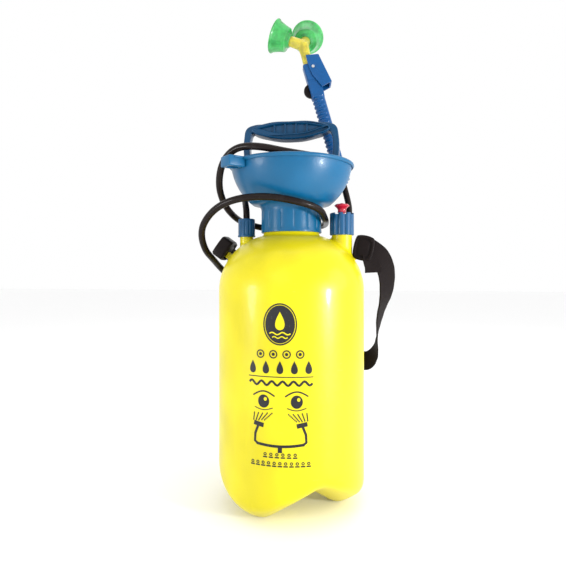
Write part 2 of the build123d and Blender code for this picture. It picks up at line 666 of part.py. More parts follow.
def make_buckle(side):
    """Strap end piece over a shoulder lug; the right one stands turned towards the front."""
    if side < 0:
        body = block(-16.5, 8, -STRAP_W / 2 - 1.5, STRAP_W / 2 + 1.5, 6.5, 21)
        body = fillet(body.edges(), BUCKLE_EDGE)
        return lug_frame(side) * (body - lug(SLIP))
    x, _, z = lug_frame(side).position
    body = fillet(Box(21, 10, 27).edges(), BUCKLE_EDGE)
    return Pos(x + 12.2, 0, z + 11.0) * Rot(0, 12, 0) * body - lug_frame(side) * lug(SLIP)


STRAP_ROUTE = [
    (91, 1.5, 298, 65), (105, 5, 287, 62), (113, 12, 268, 55), (113, 24, 242, 50),
    (107, 40, 216, 42), (104, 58, 188, 30), (101, 75, 163, 20), (88, 91, 149, 10),
    (62, 103, 156, 0), (30, 112, 178, 0), (-6, 112, 206, 0), (-38, 100, 235, 0),
    (-62, 74, 262, 0), (-77, 46, 281, 5), (-82, 24, 292, 15), (-83, 9, 295, 15),
]


def laid(x, y, z, wall=1.0):
    """A route's point, moved with the lugs where wall is 1 and with the crown where it is 0."""
    r = math.hypot(x, y)
    share = (r + wall * (LUG_R - ROUTE_LUG[0])) / r
    rise = wall * (LUG_Z - ROUTE_LUG[1]) + (1 - wall) * (CROWN_Z - ROUTE_CROWN)
    return (x * share, y * share, z + rise)


def make_strap():
    """Webbing as a thin ribbon along its route; the last number turns it about its own line."""
    centre = [Vector(*laid(x, y, z)) for x, y, z, _ in STRAP_ROUTE]
    sections = []
    for k, row in enumerate(STRAP_ROUTE):
        ahead = centre[min(k + 1, len(centre) - 1)]
        behind = centre[max(k - 1, 0)]
        along = (ahead - behind).normalized()
        out = Vector(row[0], row[1], 0).normalized()
        across = along.cross(out).normalized().rotate(Axis((0, 0, 0), along), row[3])
        frame = Plane(origin=centre[k], x_dir=across, z_dir=along)
        sections.append(frame * Rectangle(STRAP_W, STRAP_T))
    length = sum((b - a).length for a, b in zip(centre, centre[1:]))
    print("strap length", round(length, 1))
    return loft(sections, ruled=True)


# ---------------------------------------------------------------- hose

HOSE_ROUTE = [
    (-60, 14, 356), (-66, 34, 369), (-63, 58, 385), (-47, 77, 408), (-20, 76, 417), (7, 66, 411),
    (34, 57, 399), (57, 33, 394.5), (66, 0, 394), (57, -33, 394), (33, -56, 395), (4, -63, 399),
    (-29, -63, 407), (-56, -54, 408), (-74, -43, 394), (-81, -33, 370), (-79, -16, 350),
    (-73, 6, 338), (-66, 26, 332), (-44, 42, 326), (-14, 50, 324), (16, 48, 325), (38, 32, 328),
    (40.9, 8, 330), (40.9, -14, 332), (38, -35, 340), (19, -52, 346), (-15, -63, 352),
    (-50, -61, 351), (-78, -50, 343), (-97, -38, 327), (-104, -26, 312), (-103, -12, 295),
    (-99, 8, 285), (-97, 27, 276), (-84, 53, 257), (-58, 79, 220), (-28, 93, 192), (6, 98, 182),
    (38, 91, 199), (57, 79, 232), (60, 72, 264), (58, 58, 295), (64, 54, 322), (67.5, 55, 342),
]


def hose_points(start_z):
    """Corners of the hose's line, from the outlet nut to the wand's tail."""
    base = Vector(*WAND_BASE)
    points = [(OUTLET_X, 0, start_z), (OUTLET_X, 0, start_z + 13)]
    for x, y, z in HOSE_ROUTE:
        wall = min(1.0, max(0.0, (ROUTE_HIGH - z) / (ROUTE_HIGH - ROUTE_LOW)))
        points.append(laid(x, y, z, wall))
    tail = base - Vector(*WAND_AXIS).normalized() * TAIL_RUN
    return points + [tuple(tail), tuple(base)]


def make_hose(start_z):
    points = hose_points(start_z)
    radii = []
    for a, b, c in zip(points, points[1:], points[2:]):
        u = Vector(*b) - Vector(*a)
        w = Vector(*c) - Vector(*b)
        half_turn = math.radians(u.get_angle(w)) / 2
        radii.append(TURN_SHARE * min(u.length, w.length) / math.tan(half_turn))
    path = FilletPolyline(*points, radius=radii)
    section = Plane(origin=path @ 0, z_dir=path % 0) * Circle(HOSE_R)
    print("hose length", round(path.length, 1))
    return sweep(section, path=path, transition=Transition.RIGHT)


# ---------------------------------------------------------------- build

RIM_R = bowl_r(RIM_Z)
RIM_INNER = bowl_r(RIM_Z - 10) - 1.0
WAND = Plane(origin=WAND_BASE, x_dir=TRIGGER_SIDE, z_dir=WAND_AXIS).location
holder = Vector(*WAND_BASE) + Vector(*WAND_AXIS) * (SHOULDER_S - SOCKET_L / 2)
HOLDER_AZIMUTH = math.degrees(math.atan2(holder.X, -holder.Y))


def main():
    os.makedirs("parts", exist_ok=True)
    parts = {"tank_shell": make_tank(), "funnel": make_funnel()}
    parts["neck_seal"] = tube(NECK_R - 0.2, THROAT_R + SLIP, NECK_TOP_Z, WEB_Z)
    outlet, hose_start = make_outlet()
    parts.update(outlet)
    parts.update(make_relief())
    parts.update(make_pump())
    parts.update(make_plunger())
    parts.update(make_handle())
    for name, piece in {**make_wand(), **make_head()}.items():
        parts[name] = WAND * piece
    parts["strap"] = make_strap()
    parts["strap_buckle_left"] = make_buckle(-1) - parts["strap"]
    parts["strap_buckle_right"] = make_buckle(1) - parts["strap"]
    parts["hose"] = make_hose(hose_start)
    for name, piece in parts.items():
        export_step(piece, "parts/" + name + ".step")


main()
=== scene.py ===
"""Portable pressure eyewash: the looks of each piece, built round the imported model."""
import json
import math

import bmesh
import bpy
from mathutils import Matrix, Vector


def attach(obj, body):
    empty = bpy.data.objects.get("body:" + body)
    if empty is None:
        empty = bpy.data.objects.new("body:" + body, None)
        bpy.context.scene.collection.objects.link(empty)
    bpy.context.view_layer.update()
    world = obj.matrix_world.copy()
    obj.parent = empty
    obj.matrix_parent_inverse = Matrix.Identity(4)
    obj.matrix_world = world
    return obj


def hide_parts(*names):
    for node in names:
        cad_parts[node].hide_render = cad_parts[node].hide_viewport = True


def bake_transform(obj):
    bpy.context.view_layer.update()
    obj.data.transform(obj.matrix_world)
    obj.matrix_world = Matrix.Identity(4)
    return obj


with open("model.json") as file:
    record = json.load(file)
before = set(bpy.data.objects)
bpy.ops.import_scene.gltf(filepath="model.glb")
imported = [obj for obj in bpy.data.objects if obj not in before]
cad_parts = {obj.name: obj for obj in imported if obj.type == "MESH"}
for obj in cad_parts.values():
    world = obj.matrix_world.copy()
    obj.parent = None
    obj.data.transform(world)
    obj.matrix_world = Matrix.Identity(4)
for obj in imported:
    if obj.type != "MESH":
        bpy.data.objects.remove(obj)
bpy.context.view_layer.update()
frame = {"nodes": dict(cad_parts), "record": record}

bl_info = {
    "name": "Portable pressure eyewash",
    "version": (1, 0, 0),
    "blender": (4, 5, 0),
    "location": "View3D > Sidebar > Eyewash",
    "description": "Builds the tank, funnel, handle, wand, hose and strap of a portable eyewash",
    "category": "Object",
}

MM = 0.001
SMOOTH = math.radians(38)           # edges sharper than this stay sharp
CUP_SMOOTH = math.radians(50)
FORK_SMOOTH = math.radians(60)


# ---------------------------------------------------------------- settings

def size(name, text, default, low=0.0, high=1.0):
    """A length that a user can change."""
    return bpy.props.FloatProperty(
        name=name, description=text, default=default, min=low, max=high, subtype="DISTANCE", unit="LENGTH"
    )


def colour(name, text, default):
    """A colour that a user can change."""
    return bpy.props.FloatVectorProperty(
        name=name, description=text, default=default, min=0.0, max=1.0, size=3, subtype="COLOR"
    )


def count(name, text, default, low, high):
    """A whole number that a user can change."""
    return bpy.props.IntProperty(name=name, description=text, default=default, min=low, max=high)


class TankSettings(bpy.types.PropertyGroup):
    """Sizes and colour of the blow-moulded tank."""
    radius: size("Radius", "Outside radius of the straight wall", 0.086)
    wall: size("Wall", "Thickness of the moulded wall", 0.0026)
    shoulder_z: size("Shoulder height", "Height where the domed shoulder starts", 0.248)
    shoulder_arc: size("Shoulder arc", "Radius of the shoulder's arc", 0.066)
    neck: size("Neck radius", "Outside radius of the neck", 0.033)
    neck_top: size("Neck height", "Height of the neck's lip", 0.339)
    foot_ring: size("Foot ring", "Distance of each foot from the axis", 0.054)
    shade: colour("Colour", "Colour of the moulded tank", (0.68, 0.59, 0.002))
    ink: colour("Ink", "Colour of the printed marks", (0.008, 0.007, 0.010))


class FunnelSettings(bpy.types.PropertyGroup):
    """Sizes and colour of the filling funnel and the nuts."""
    rim_z: size("Rim height", "Height of the rolled rim", 0.395)
    arc: size("Bowl arc", "Radius of the bowl's arc", 0.0676)
    centre: size("Arc offset", "Distance of the arc's centre from the axis", 0.0048)
    bead: size("Rim bead", "Radius of the rolled bead", 0.0025)
    skirt: size("Skirt radius", "Outside radius of the lobed skirt", 0.036)
    lobes: count("Lobes", "Lobes round the skirt", 14, 6, 30)
    shade: colour("Colour", "Colour of the funnel", (0.001, 0.098, 0.225))
    nut_shade: colour("Nut colour", "Colour of the port nuts", (0.004, 0.080, 0.200))


class HandleSettings(bpy.types.PropertyGroup):
    """Sizes and colour of the pump handle."""
    half: size("Half width", "Half of the handle's width", 0.0565)
    top: size("Top height", "Height of the top of the grip", 0.448)
    grip: size("Grip height", "Depth of the lens-shaped grip at its middle", 0.021)
    ribs: count("Ribs", "Ribs in the grip's recess", 4, 2, 8)
    shade: colour("Colour", "Colour of the handle", (0.001, 0.045, 0.115))
    knob_shade: colour("Knob colour", "Colour of the relief valve's pull knob", (0.50, 0.008, 0.030))


class WandSettings(bpy.types.PropertyGroup):
    """Sizes and colours of the spray wand and its head."""
    radius: size("Grip radius", "Radius of the ribbed grip", 0.0086)
    rings: count("Grooves", "Grooves along the grip", 13, 4, 30)
    cup_rim: size("Cup rim", "Radius of an eye cup's rim", 0.0208)
    cup_small: size("Cup base", "Radius of an eye cup's base", 0.0155)
    cup_depth: size("Cup depth", "Depth of an eye cup", 0.0195)
    shade: colour("Colour", "Colour of the wand", (0.001, 0.070, 0.230))
    cup_shade: colour("Cup colour", "Colour of the soft eye cups", (0.08, 0.62, 0.16))
    fork_shade: colour("Fork colour", "Colour of the forked tube", (0.86, 0.74, 0.060))


class SoftSettings(bpy.types.PropertyGroup):
    """Sizes and colours of the hose and the carrying strap."""
    hose: size("Hose diameter", "Outside diameter of the hose", 0.008)
    webbing: size("Webbing width", "Width of the strap", 0.025)
    thickness: size("Webbing thickness", "Thickness of the strap", 0.0016)
    shade: colour("Hose colour", "Colour of the hose", (0.010, 0.006, 0.005))
    strap_shade: colour("Strap colour", "Colour of the webbing and buckles", (0.006, 0.003, 0.003))


class StageSettings(bpy.types.PropertyGroup):
    """The floor, the light and the camera."""
    floor: colour("Floor", "Colour of the floor", (0.97, 0.97, 0.97))
    distance: size("Camera distance", "Distance of the camera from the tank's axis", 0.600, 0.2, 3.0)
    height: size("Camera height", "Height of the camera", 0.272, 0.0, 2.0)
    azimuth: bpy.props.FloatProperty(
        name="Azimuth", description="Turn of the camera round the tank",
        default=math.radians(8), subtype="ANGLE", unit="ROTATION",
    )
    lens: bpy.props.FloatProperty(name="Lens", description="Focal length in millimetres", default=31.8)


GROUPS = {
    "eyewash_tank": TankSettings,
    "eyewash_funnel": FunnelSettings,
    "eyewash_handle": HandleSettings,
    "eyewash_wand": WandSettings,
    "eyewash_soft": SoftSettings,
    "eyewash_stage": StageSettings,
}


# ---------------------------------------------------------------- shader maths

def operator(operation, swapped=False):
    """A method of Wire that adds one Math node."""
    def method(self, other=0.0):
        first, second = (other, self) if swapped else (self, other)
        return self.add("Math", {"operation": operation}, {0: first, 1: second})
    return method


class Wire:
    """One socket in a material. Sums written on it add Math nodes."""

    def __init__(self, tree, socket=None):
        self.tree = tree
        self.socket = socket

    def add(self, kind, settings=None, sockets=None, output=0):
        """Adds a node, sets it, fills its sockets and gives one of its outputs."""
        node = self.tree.nodes.new("ShaderNode" + kind)
        for name, value in (settings or {}).items():
            if name == "stops":
                stops = node.color_ramp.elements
                for index, (place, shade) in enumerate(value):
                    stop = stops[index] if index < 2 else stops.new(place)
                    stop.position = place
                    stop.color = (*shade, 1.0)
            else:
                setattr(node, name, value)
        for name, value in (sockets or {}).items():
            if isinstance(value, Wire):
                self.tree.links.new(value.socket, node.inputs[name])
            else:
                node.inputs[name].default_value = value
        return Wire(self.tree, node.outputs[output])

    __add__, __radd__ = operator("ADD"), operator("ADD", swapped=True)
    __sub__, __rsub__ = operator("SUBTRACT"), operator("SUBTRACT", swapped=True)
    __mul__, __rmul__ = operator("MULTIPLY"), operator("MULTIPLY", swapped=True)
    __truediv__ = operator("DIVIDE")
    __abs__, sine = operator("ABSOLUTE"), operator("SINE")

    def step(self, low, high):
        """0 below low, 1 above high, smooth between."""
        return self.add(
            "MapRange", {"interpolation_type": "SMOOTHSTEP"},
            {"Value": self, "From Min": low, "From Max": high, "To Min": 0.0, "To Max": 1.0},
        )

    def mix(self, first, second):
        """The colour between two colours, by this socket."""
        def full(value):
            return value if isinstance(value, Wire) else (*value, 1.0)
        return self.add(
            "Mix", {"data_type": "RGBA"}, {"Factor": self, 6: full(first), 7: full(second)}, output=2
        )


def material(name, **constants):
    """A new material: gives it, a wire to write on, and its shader. Constants go on the shader's sockets."""
    made = bpy.data.materials.new(name)
    made.use_nodes = True
    shader = made.node_tree.nodes["Principled BSDF"]
    for key, value in constants.items():
        shader.inputs[key.replace("_", " ")].default_value = value
    return made, Wire(made.node_tree), shader


def feed(wire, shader, **inputs):
    """Links wires to the shader's sockets."""
    for key, value in inputs.items():
        wire.tree.links.new(value.socket, shader.inputs[key.replace("_", " ")])


def noise(wire, place, scale, detail=3.0, roughness=0.55):
    """Cloudy noise, 0 to 1."""
    return wire.add("TexNoise", {}, {"Vector": place, "Scale": scale, "Detail": detail, "Roughness": roughness})


def stretched(wire, place, scale):
    """Coordinates stretched by a different amount along each axis."""
    return wire.add("VectorMath", {"operation": "MULTIPLY"}, {0: place, 1: scale})


def relief(wire, height, depth, normal=None):
    """A bump of the given depth in metres."""
    sockets = {"Height": height, "Strength": 1.0, "Distance": depth}
    if normal is not None:
        sockets["Normal"] = normal
    return wire.add("Bump", {}, sockets)


def object_place(wire):
    """Coordinates that ride with the piece."""
    return wire.add("TexCoord", output=3)


def tinted(shade, factor):
    """A colour made lighter or darker."""
    return tuple(min(1.0, channel * factor) for channel in shade)


def lifted(shade, lift, factor=1.0):
    """A colour multiplied, then raised towards white."""
    return tuple(channel * factor + lift for channel in shade)


def moulded(name, shade, gloss=0.28, peel=260.0, seam=False, coat=0.35, shine=0.5):
    """Moulded plastic: flow marks, fine peel in the gloss, faint scuffs and dust in the hollows."""
    made, wire, shader = material(name, IOR=1.49, Coat_Roughness=0.08, Specular_IOR_Level=shine)
    place = object_place(wire)
    broad = noise(wire, place, 14.0, 2.0)
    streaks = noise(wire, stretched(wire, place, (1.0, 1.0, 0.16)), 90.0, 4.0)
    pits = noise(wire, place, 1400.0, 2.0)
    scuffs = noise(wire, stretched(wire, place, (1.0, 1.0, 6.0)), 55.0, 8.0, 0.72).step(0.60, 0.74)
    base = broad.step(0.35, 0.68).mix(tinted(shade, 0.90), tinted(shade, 1.05))
    base = (streaks.step(0.52, 0.75) * 0.25).mix(base, tinted(shade, 1.16))
    base = (pits.step(0.63, 0.72) * 0.30).mix(base, tinted(shade, 0.62))
    rubbed = 0.5 * min(sum(shade) / 3 + 0.06, 0.3)
    base = (scuffs * 0.20).mix(base, lifted(shade, rubbed, 0.5))
    rough = gloss + broad * 0.08 + scuffs * 0.22 + pits.step(0.6, 0.75) * 0.12
    bump = relief(wire, noise(wire, place, peel, 2.0), 0.00012)
    bump = relief(wire, pits, 0.00003, bump)
    if seam:
        side = wire.add("SeparateXYZ", {}, {0: place}, output=1)
        line = 1.0 - abs(side).step(0.0003, 0.0011)
        bump = relief(wire, line, 0.00035, bump)
        rough = rough + line * 0.10
    feed(wire, shader, Base_Color=base, Roughness=rough, Coat_Weight=coat - scuffs * (coat * 0.8), Normal=bump)
    return made


def clouded(name, shade, deep, transmission=0.45, glow=0.35):
    """Soft translucent plastic: cloudy, with swirls from the mould."""
    made, wire, shader = material(
        name, IOR=1.46, Transmission_Weight=transmission, Subsurface_Weight=glow,
        Subsurface_Radius=(0.006, 0.008, 0.004), Subsurface_Scale=1.0,
        Coat_Weight=0.3, Coat_Roughness=0.12,
    )
    place = object_place(wire)
    swirl = noise(wire, place, 70.0, 5.0, 0.6)
    base = swirl.step(0.34, 0.66).mix(deep, shade)
    fine = noise(wire, place, 900.0, 2.0)
    rough = 0.22 + swirl * 0.22 + fine * 0.10
    bump = relief(wire, noise(wire, place, 240.0, 2.0), 0.00018)
    feed(wire, shader, Base_Color=base, Roughness=rough, Normal=bump)
    return made


def hose_rubber(name, shade):
    """Glossy extruded hose: fine die lines round it, dust and rub marks."""
    made, wire, shader = material(name, IOR=1.52, Coat_Roughness=0.10, Specular_IOR_Level=0.1)
    place = object_place(wire)
    dust = noise(wire, place, 42.0, 6.0, 0.65).step(0.48, 0.80)
    fine = noise(wire, place, 850.0, 3.0)
    base = dust.mix(shade, lifted(shade, 0.012))
    base = (fine.step(0.60, 0.75) * 0.4).mix(base, tinted(shade, 2.0))
    rough = 0.20 + dust * 0.24 + fine * 0.08
    bump = relief(wire, noise(wire, place, 170.0, 2.0), 0.00016)
    bump = relief(wire, fine, 0.00003, bump)
    feed(wire, shader, Base_Color=base, Roughness=rough, Coat_Weight=0.10 - dust * 0.06, Normal=bump)
    return made


def soft_rubber(name, shade):
    """Matt seal rubber with a dusty bloom."""
    made, wire, shader = material(name, IOR=1.5)
    place = object_place(wire)
    bloom = noise(wire, place, 120.0, 5.0, 0.6)
    base = bloom.step(0.45, 0.75).mix(shade, lifted(shade, 0.035))
    bump = relief(wire, noise(wire, place, 1800.0, 2.0), 0.00005)
    feed(wire, shader, Base_Color=base, Roughness=0.62 + bloom * 0.2, Normal=bump)
    return made


def natural_plastic(name):
    """Uncoloured plastic of the inner pieces, with a faint yellow cast and turned rings."""
    made, wire, shader = material(name, IOR=1.5, Subsurface_Weight=0.12, Subsurface_Scale=0.002)
    place = object_place(wire)
    cast = noise(wire, place, 60.0, 4.0)
    rings = noise(wire, stretched(wire, place, (1.0, 1.0, 12.0)), 160.0, 2.0)
    base = cast.step(0.35, 0.70).mix((0.66, 0.65, 0.58), (0.80, 0.80, 0.76))
    bump = relief(wire, rings, 0.00006)
    feed(wire, shader, Base_Color=base, Roughness=0.34 + cast * 0.14, Normal=bump)
    return made


def bright_steel(name):
    """Drawn wire and pins: fine drawing lines and small stains."""
    made, wire, shader = material(name, Metallic=1.0)
    place = object_place(wire)
    lines = noise(wire, stretched(wire, place, (1.0, 9.0, 1.0)), 420.0, 3.0)
    stain = noise(wire, place, 90.0, 5.0).step(0.5, 0.8)
    base = stain.mix((0.62, 0.63, 0.65), (0.42, 0.40, 0.37))
    bump = relief(wire, lines, 0.00004)
    feed(wire, shader, Base_Color=base, Roughness=0.22 + lines * 0.16 + stain * 0.2, Normal=bump)
    return made


def print_ink(name, shade):
    """Screen ink: pinholes of thin ink, matt."""
    made, wire, shader = material(name, IOR=1.45)
    place = object_place(wire)
    thin = noise(wire, place, 520.0, 4.0, 0.7)
    base = thin.step(0.58, 0.80).mix(shade, lifted(shade, 0.06, 0.5))
    bump = relief(wire, thin, 0.00003)
    feed(wire, shader, Base_Color=base, Roughness=0.38 + thin * 0.2, Normal=bump)
    return made


def woven(name, shade, ends=14.0, pitch=0.0016):
    """Webbing: raised cords along the strap, a weft that crosses them, twill in the middle, fuzzy edges; painted
    shade in the weave's valleys and painted highlight on its tops.
    """
    made, wire, shader = material(
        name, IOR=1.45, Sheen_Weight=0.01, Sheen_Roughness=0.5, Specular_IOR_Level=0.12,
    )
    uv = wire.add("UVMap", {"uv_map": "weave"})
    across = wire.add("SeparateXYZ", {}, {0: uv}, output=0)
    along = wire.add("SeparateXYZ", {}, {0: uv}, output=1)
    cords = abs((across * (ends * math.pi)).sine())
    weft = abs(((along / pitch + across * ends * 0.5) * math.pi).sine())
    fuzz = noise(wire, object_place(wire), 1500.0, 3.0)
    height = cords * 0.55 + weft * 0.45
    # Painted shade and painted highlight: the colour follows the weave's height, darker in the valleys between
    # cords and lighter on their tops
    base = height.step(0.30, 0.95).mix(tinted(shade, 0.55), lifted(shade, 0.004, 1.5))
    base = (fuzz.step(0.60, 0.78) * 0.5).mix(base, lifted(shade, 0.012))
    bump = relief(wire, height, 0.00035)
    bump = relief(wire, fuzz, 0.00008, bump)
    feed(wire, shader, Base_Color=base, Roughness=0.55 + fuzz * 0.25, Normal=bump)
    return made


def studio_floor(name, shade):
    """Pale seamless floor."""
    made, wire, shader = material(name)
    grain = noise(wire, object_place(wire), 60.0, 4.0)
    base = grain.mix(tinted(shade, 0.985), shade)
    feed(wire, shader, Base_Color=base, Roughness=0.55 + grain * 0.08)
    return made


FINISHES = {}


def finish_for(slot):
    """The material of a record slot, made once."""
    if slot in FINISHES:
        return FINISHES[slot]
    scene = bpy.context.scene
    tank, funnel = scene.eyewash_tank, scene.eyewash_funnel
    handle, wand, soft = scene.eyewash_handle, scene.eyewash_wand, scene.eyewash_soft
    makers = {
        "tank_yellow": lambda: moulded(slot, tank.shade, 0.30, 150.0, seam=True, coat=0.15, shine=0.35),
        "funnel_blue": lambda: moulded(slot, funnel.shade, 0.30, 240.0, coat=0.06, shine=0.35),
        "fitting_blue": lambda: moulded(slot, funnel.nut_shade, 0.30, 320.0, coat=0.25, shine=0.3),
        "handle_blue": lambda: moulded(slot, handle.shade, 0.33, 300.0, coat=0.15, shine=0.2),
        "wand_blue": lambda: moulded(slot, wand.shade, 0.34, 340.0, coat=0.12, shine=0.25),
        "knob_red": lambda: moulded(slot, handle.knob_shade, 0.28, 420.0),
        "head_yellow": lambda: clouded(slot, wand.fork_shade, tinted(wand.fork_shade, 0.62), 0.30, 0.45),
        "cup_green": lambda: clouded(slot, wand.cup_shade, tinted(wand.cup_shade, 0.60)),
        "hose_black": lambda: hose_rubber(slot, soft.shade),
        "strap_black": lambda: woven(slot, soft.strap_shade),
        "buckle_black": lambda: moulded(slot, soft.strap_shade, 0.36, 420.0, coat=0.04, shine=0.12),
        "seal_black": lambda: soft_rubber(slot, (0.018, 0.018, 0.018)),
        "inner_white": lambda: natural_plastic(slot),
        "steel": lambda: bright_steel(slot),
        "print_ink": lambda: print_ink(slot, tank.ink),
    }
    FINISHES[slot] = makers[slot]()
    return FINISHES[slot]


# ---------------------------------------------------------------- modelling helpers

def deselect():
    """Leaves edit mode with nothing selected."""
    if bpy.context.mode != "OBJECT":
        bpy.ops.object.mode_set(mode="OBJECT")
    bpy.ops.object.select_all(action="DESELECT")


def pick(*pieces):
    """Selects only these pieces; the first is the active one."""
    deselect()
    for piece in pieces:
        piece.select_set(True)
    bpy.context.view_layer.objects.active = pieces[0]


def edit(piece, threshold=1e-6):
    """Merges doubles and turns the faces outwards."""
    pick(piece)
    bpy.ops.object.mode_set(mode="EDIT")
    bpy.ops.mesh.select_all(action="SELECT")
    bpy.ops.mesh.remove_doubles(threshold=threshold)
    bpy.ops.mesh.normals_make_consistent(inside=False)
    bpy.ops.object.mode_set(mode="OBJECT")


def modify(piece, kind, **settings):
    """Adds a modifier, sets it and applies it."""
    pick(piece)
    bpy.ops.object.modifier_add(type=kind)
    modifier = piece.modifiers[-1]
    for name, value in settings.items():
        setattr(modifier, name, value)
    bpy.ops.object.modifier_apply(modifier=modifier.name)
    return piece


def cut(piece, *cutters):
    """Takes cutters out of a piece and removes them."""
    for cutter in cutters:
        modify(piece, "BOOLEAN", object=cutter, operation="DIFFERENCE", solver="EXACT")
        bpy.data.objects.remove(cutter)
    return piece


def rounded(piece, width, segments=3, angle=35.0):
    """Rounds a piece's edges."""
    return modify(
        piece, "BEVEL", width=width, segments=segments, limit_method="ANGLE",
        angle_limit=math.radians(angle), use_clamp_overlap=True,
    )


def move(x, y, z):
    """A shift in millimetres."""
    return Matrix.Translation((x * MM, y * MM, z * MM))


def turn_by(degrees, axis):
    """A turn about an axis through the origin."""
    return Matrix.Rotation(math.radians(degrees), 4, axis)


def place(piece, matrix):
    """Moves a piece's mesh, so that its object stays at the origin."""
    piece.data.transform(matrix)
    if matrix.is_negative:
        piece.data.flip_normals()
    return piece


def join(*pieces):
    """Makes one object of several, named after the first."""
    pick(*pieces)
    bpy.ops.object.join()
    return pieces[0]


def dress(piece, name, finish, angle=SMOOTH):
    """Smooths, names and paints a finished piece."""
    pick(piece)
    bpy.ops.object.transform_apply(location=True, rotation=True, scale=True)
    bpy.ops.object.shade_smooth_by_angle(angle=angle)
    piece.name = name
    piece.data.name = name
    piece.data.materials.clear()
    piece.data.materials.append(finish_for(finish))


def settle(piece, name, slot, body, nodes=(), finish=None, angle=SMOOTH):
    """Dresses a piece and lets it ride on its body."""
    dress(piece, name, finish or slot, angle)
    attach(piece, body)
    if nodes:
        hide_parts(*nodes)
    return piece


def turned(outline, steps=96, closed=True):
    """A piece turned on a lathe, from (radius, height) points in millimetres."""
    deselect()
    bpy.ops.mesh.primitive_plane_add(size=MM, location=(0, 0, 0))
    piece = bpy.context.object
    bpy.ops.object.mode_set(mode="EDIT")
    bpy.ops.mesh.select_all(action="SELECT")
    bpy.ops.mesh.merge(type="CENTER")
    points = [Vector((r * MM, 0, z * MM)) for r, z in outline]
    bpy.ops.transform.translate(value=points[0])
    for before, after in zip(points, points[1:]):
        bpy.ops.mesh.extrude_region_move(TRANSFORM_OT_translate={"value": after - before})
    if closed:
        drawn = bmesh.from_edit_mesh(piece.data)
        drawn.verts.ensure_lookup_table()
        ends = [vertex for vertex in drawn.verts if len(vertex.link_edges) == 1]
        for vertex in drawn.verts:
            vertex.select = vertex in ends
        drawn.select_flush(False)
        bmesh.update_edit_mesh(piece.data)
        bpy.ops.mesh.edge_face_add()
    bpy.ops.mesh.select_all(action="SELECT")
    bpy.ops.mesh.spin(steps=steps, angle=math.tau, center=(0, 0, 0), axis=(0, 0, 1))
    bpy.ops.mesh.select_all(action="SELECT")
    bpy.ops.mesh.remove_doubles(threshold=2e-6)
    bpy.ops.mesh.normals_make_consistent(inside=False)
    bpy.ops.object.mode_set(mode="OBJECT")
    return piece


def formed(around, along, shape):
    """A skin over a grid: shape gives a point in metres for each place (0 to 1 both ways)."""
    deselect()
    bpy.ops.mesh.primitive_grid_add(x_subdivisions=around, y_subdivisions=along, size=1, location=(0, 0, 0))
    piece = bpy.context.object
    for vertex in piece.data.vertices:
        vertex.co = shape(vertex.co.x + 0.5, vertex.co.y + 0.5)
    edit(piece)
    return piece


def arc(centre_r, centre_z, radius, start, end, parts=8):
    """Points of an arc in an outline, angles in degrees from the radius line."""
    turn = [math.radians(start + (end - start) * k / parts) for k in range(parts + 1)]
    return [(centre_r + radius * math.cos(a), centre_z + radius * math.sin(a)) for a in turn]


def block(low, high, radius=0.6, segments=3):
    """A box between two corners in millimetres, with rounded edges."""
    deselect()
    middle = [(a + b) / 2 * MM for a, b in zip(low, high)]
    spans = [(b - a) * MM for a, b in zip(low, high)]
    bpy.ops.mesh.primitive_cube_add(size=1, location=middle)
    piece = bpy.context.object
    bpy.ops.transform.resize(value=spans)
    bpy.ops.object.transform_apply(location=True, rotation=True, scale=True)
    if radius:
        rounded(piece, radius * MM, segments)
    return piece


def rod(radius, start, end, vertices=48):
    """A plain round cutter or pin between two points in millimetres."""
    deselect()
    a, b = Vector(start) * MM, Vector(end) * MM
    bpy.ops.mesh.primitive_cylinder_add(vertices=vertices, radius=radius * MM, depth=(b - a).length)
    piece = bpy.context.object
    turn = (b - a).to_track_quat("Z", "Y").to_matrix().to_4x4()
    return place(piece, Matrix.Translation((a + b) / 2) @ turn)


def pressed(loops, half, edge, resolution=8):
    """A flat moulding from closed outlines in the X-Z plane: outer loop first, then its holes.

    A point is (x, z) where the line runs smooth, or (x, z, 0) at a corner."""
    drawn = bpy.data.curves.new("outline", "CURVE")
    drawn.dimensions = "2D"
    drawn.fill_mode = "BOTH"
    drawn.extrude = (half - edge) * MM
    drawn.bevel_depth = edge * MM
    drawn.bevel_resolution = 3
    drawn.offset = -edge * MM
    for loop in loops:
        spline = drawn.splines.new("BEZIER")
        spline.bezier_points.add(len(loop) - 1)
        spline.use_cyclic_u = True
        spline.resolution_u = resolution
        for point, given in zip(spline.bezier_points, loop):
            point.co = (given[0] * MM, given[1] * MM, 0)
            kind = "VECTOR" if len(given) == 3 else "AUTO"
            point.handle_left_type = kind
            point.handle_right_type = kind
    piece = bpy.data.objects.new("outline", drawn)
    bpy.context.scene.collection.objects.link(piece)
    pick(piece)
    bpy.ops.object.convert(target="MESH")
    piece = bpy.context.object
    place(piece, turn_by(90, "X"))
    edit(piece, 2e-6)
    return piece


def mirrored(points):
    """The other half of an outline that is drawn for +X, in the order that closes it."""
    return [(-x, *rest) for x, *rest in reversed(points)]


def softened(node, width, angle=32.0):
    """A copy of a CAD node with its edges rounded."""
    source = frame["nodes"][node]
    piece = source.copy()
    piece.data = source.data.copy()
    for key in list(piece.keys()):
        del piece[key]
    piece.parent = None
    bpy.context.scene.collection.objects.link(piece)
    pick(piece)
    bpy.ops.mesh.customdata_custom_splitnormals_clear()
    bpy.ops.object.mode_set(mode="EDIT")
    bpy.ops.mesh.select_all(action="SELECT")
    bpy.ops.mesh.remove_doubles(threshold=5e-6)
    bpy.ops.mesh.dissolve_limited(angle_limit=math.radians(1.0))
    bpy.ops.object.mode_set(mode="OBJECT")
    return rounded(piece, width * MM, 2, angle)


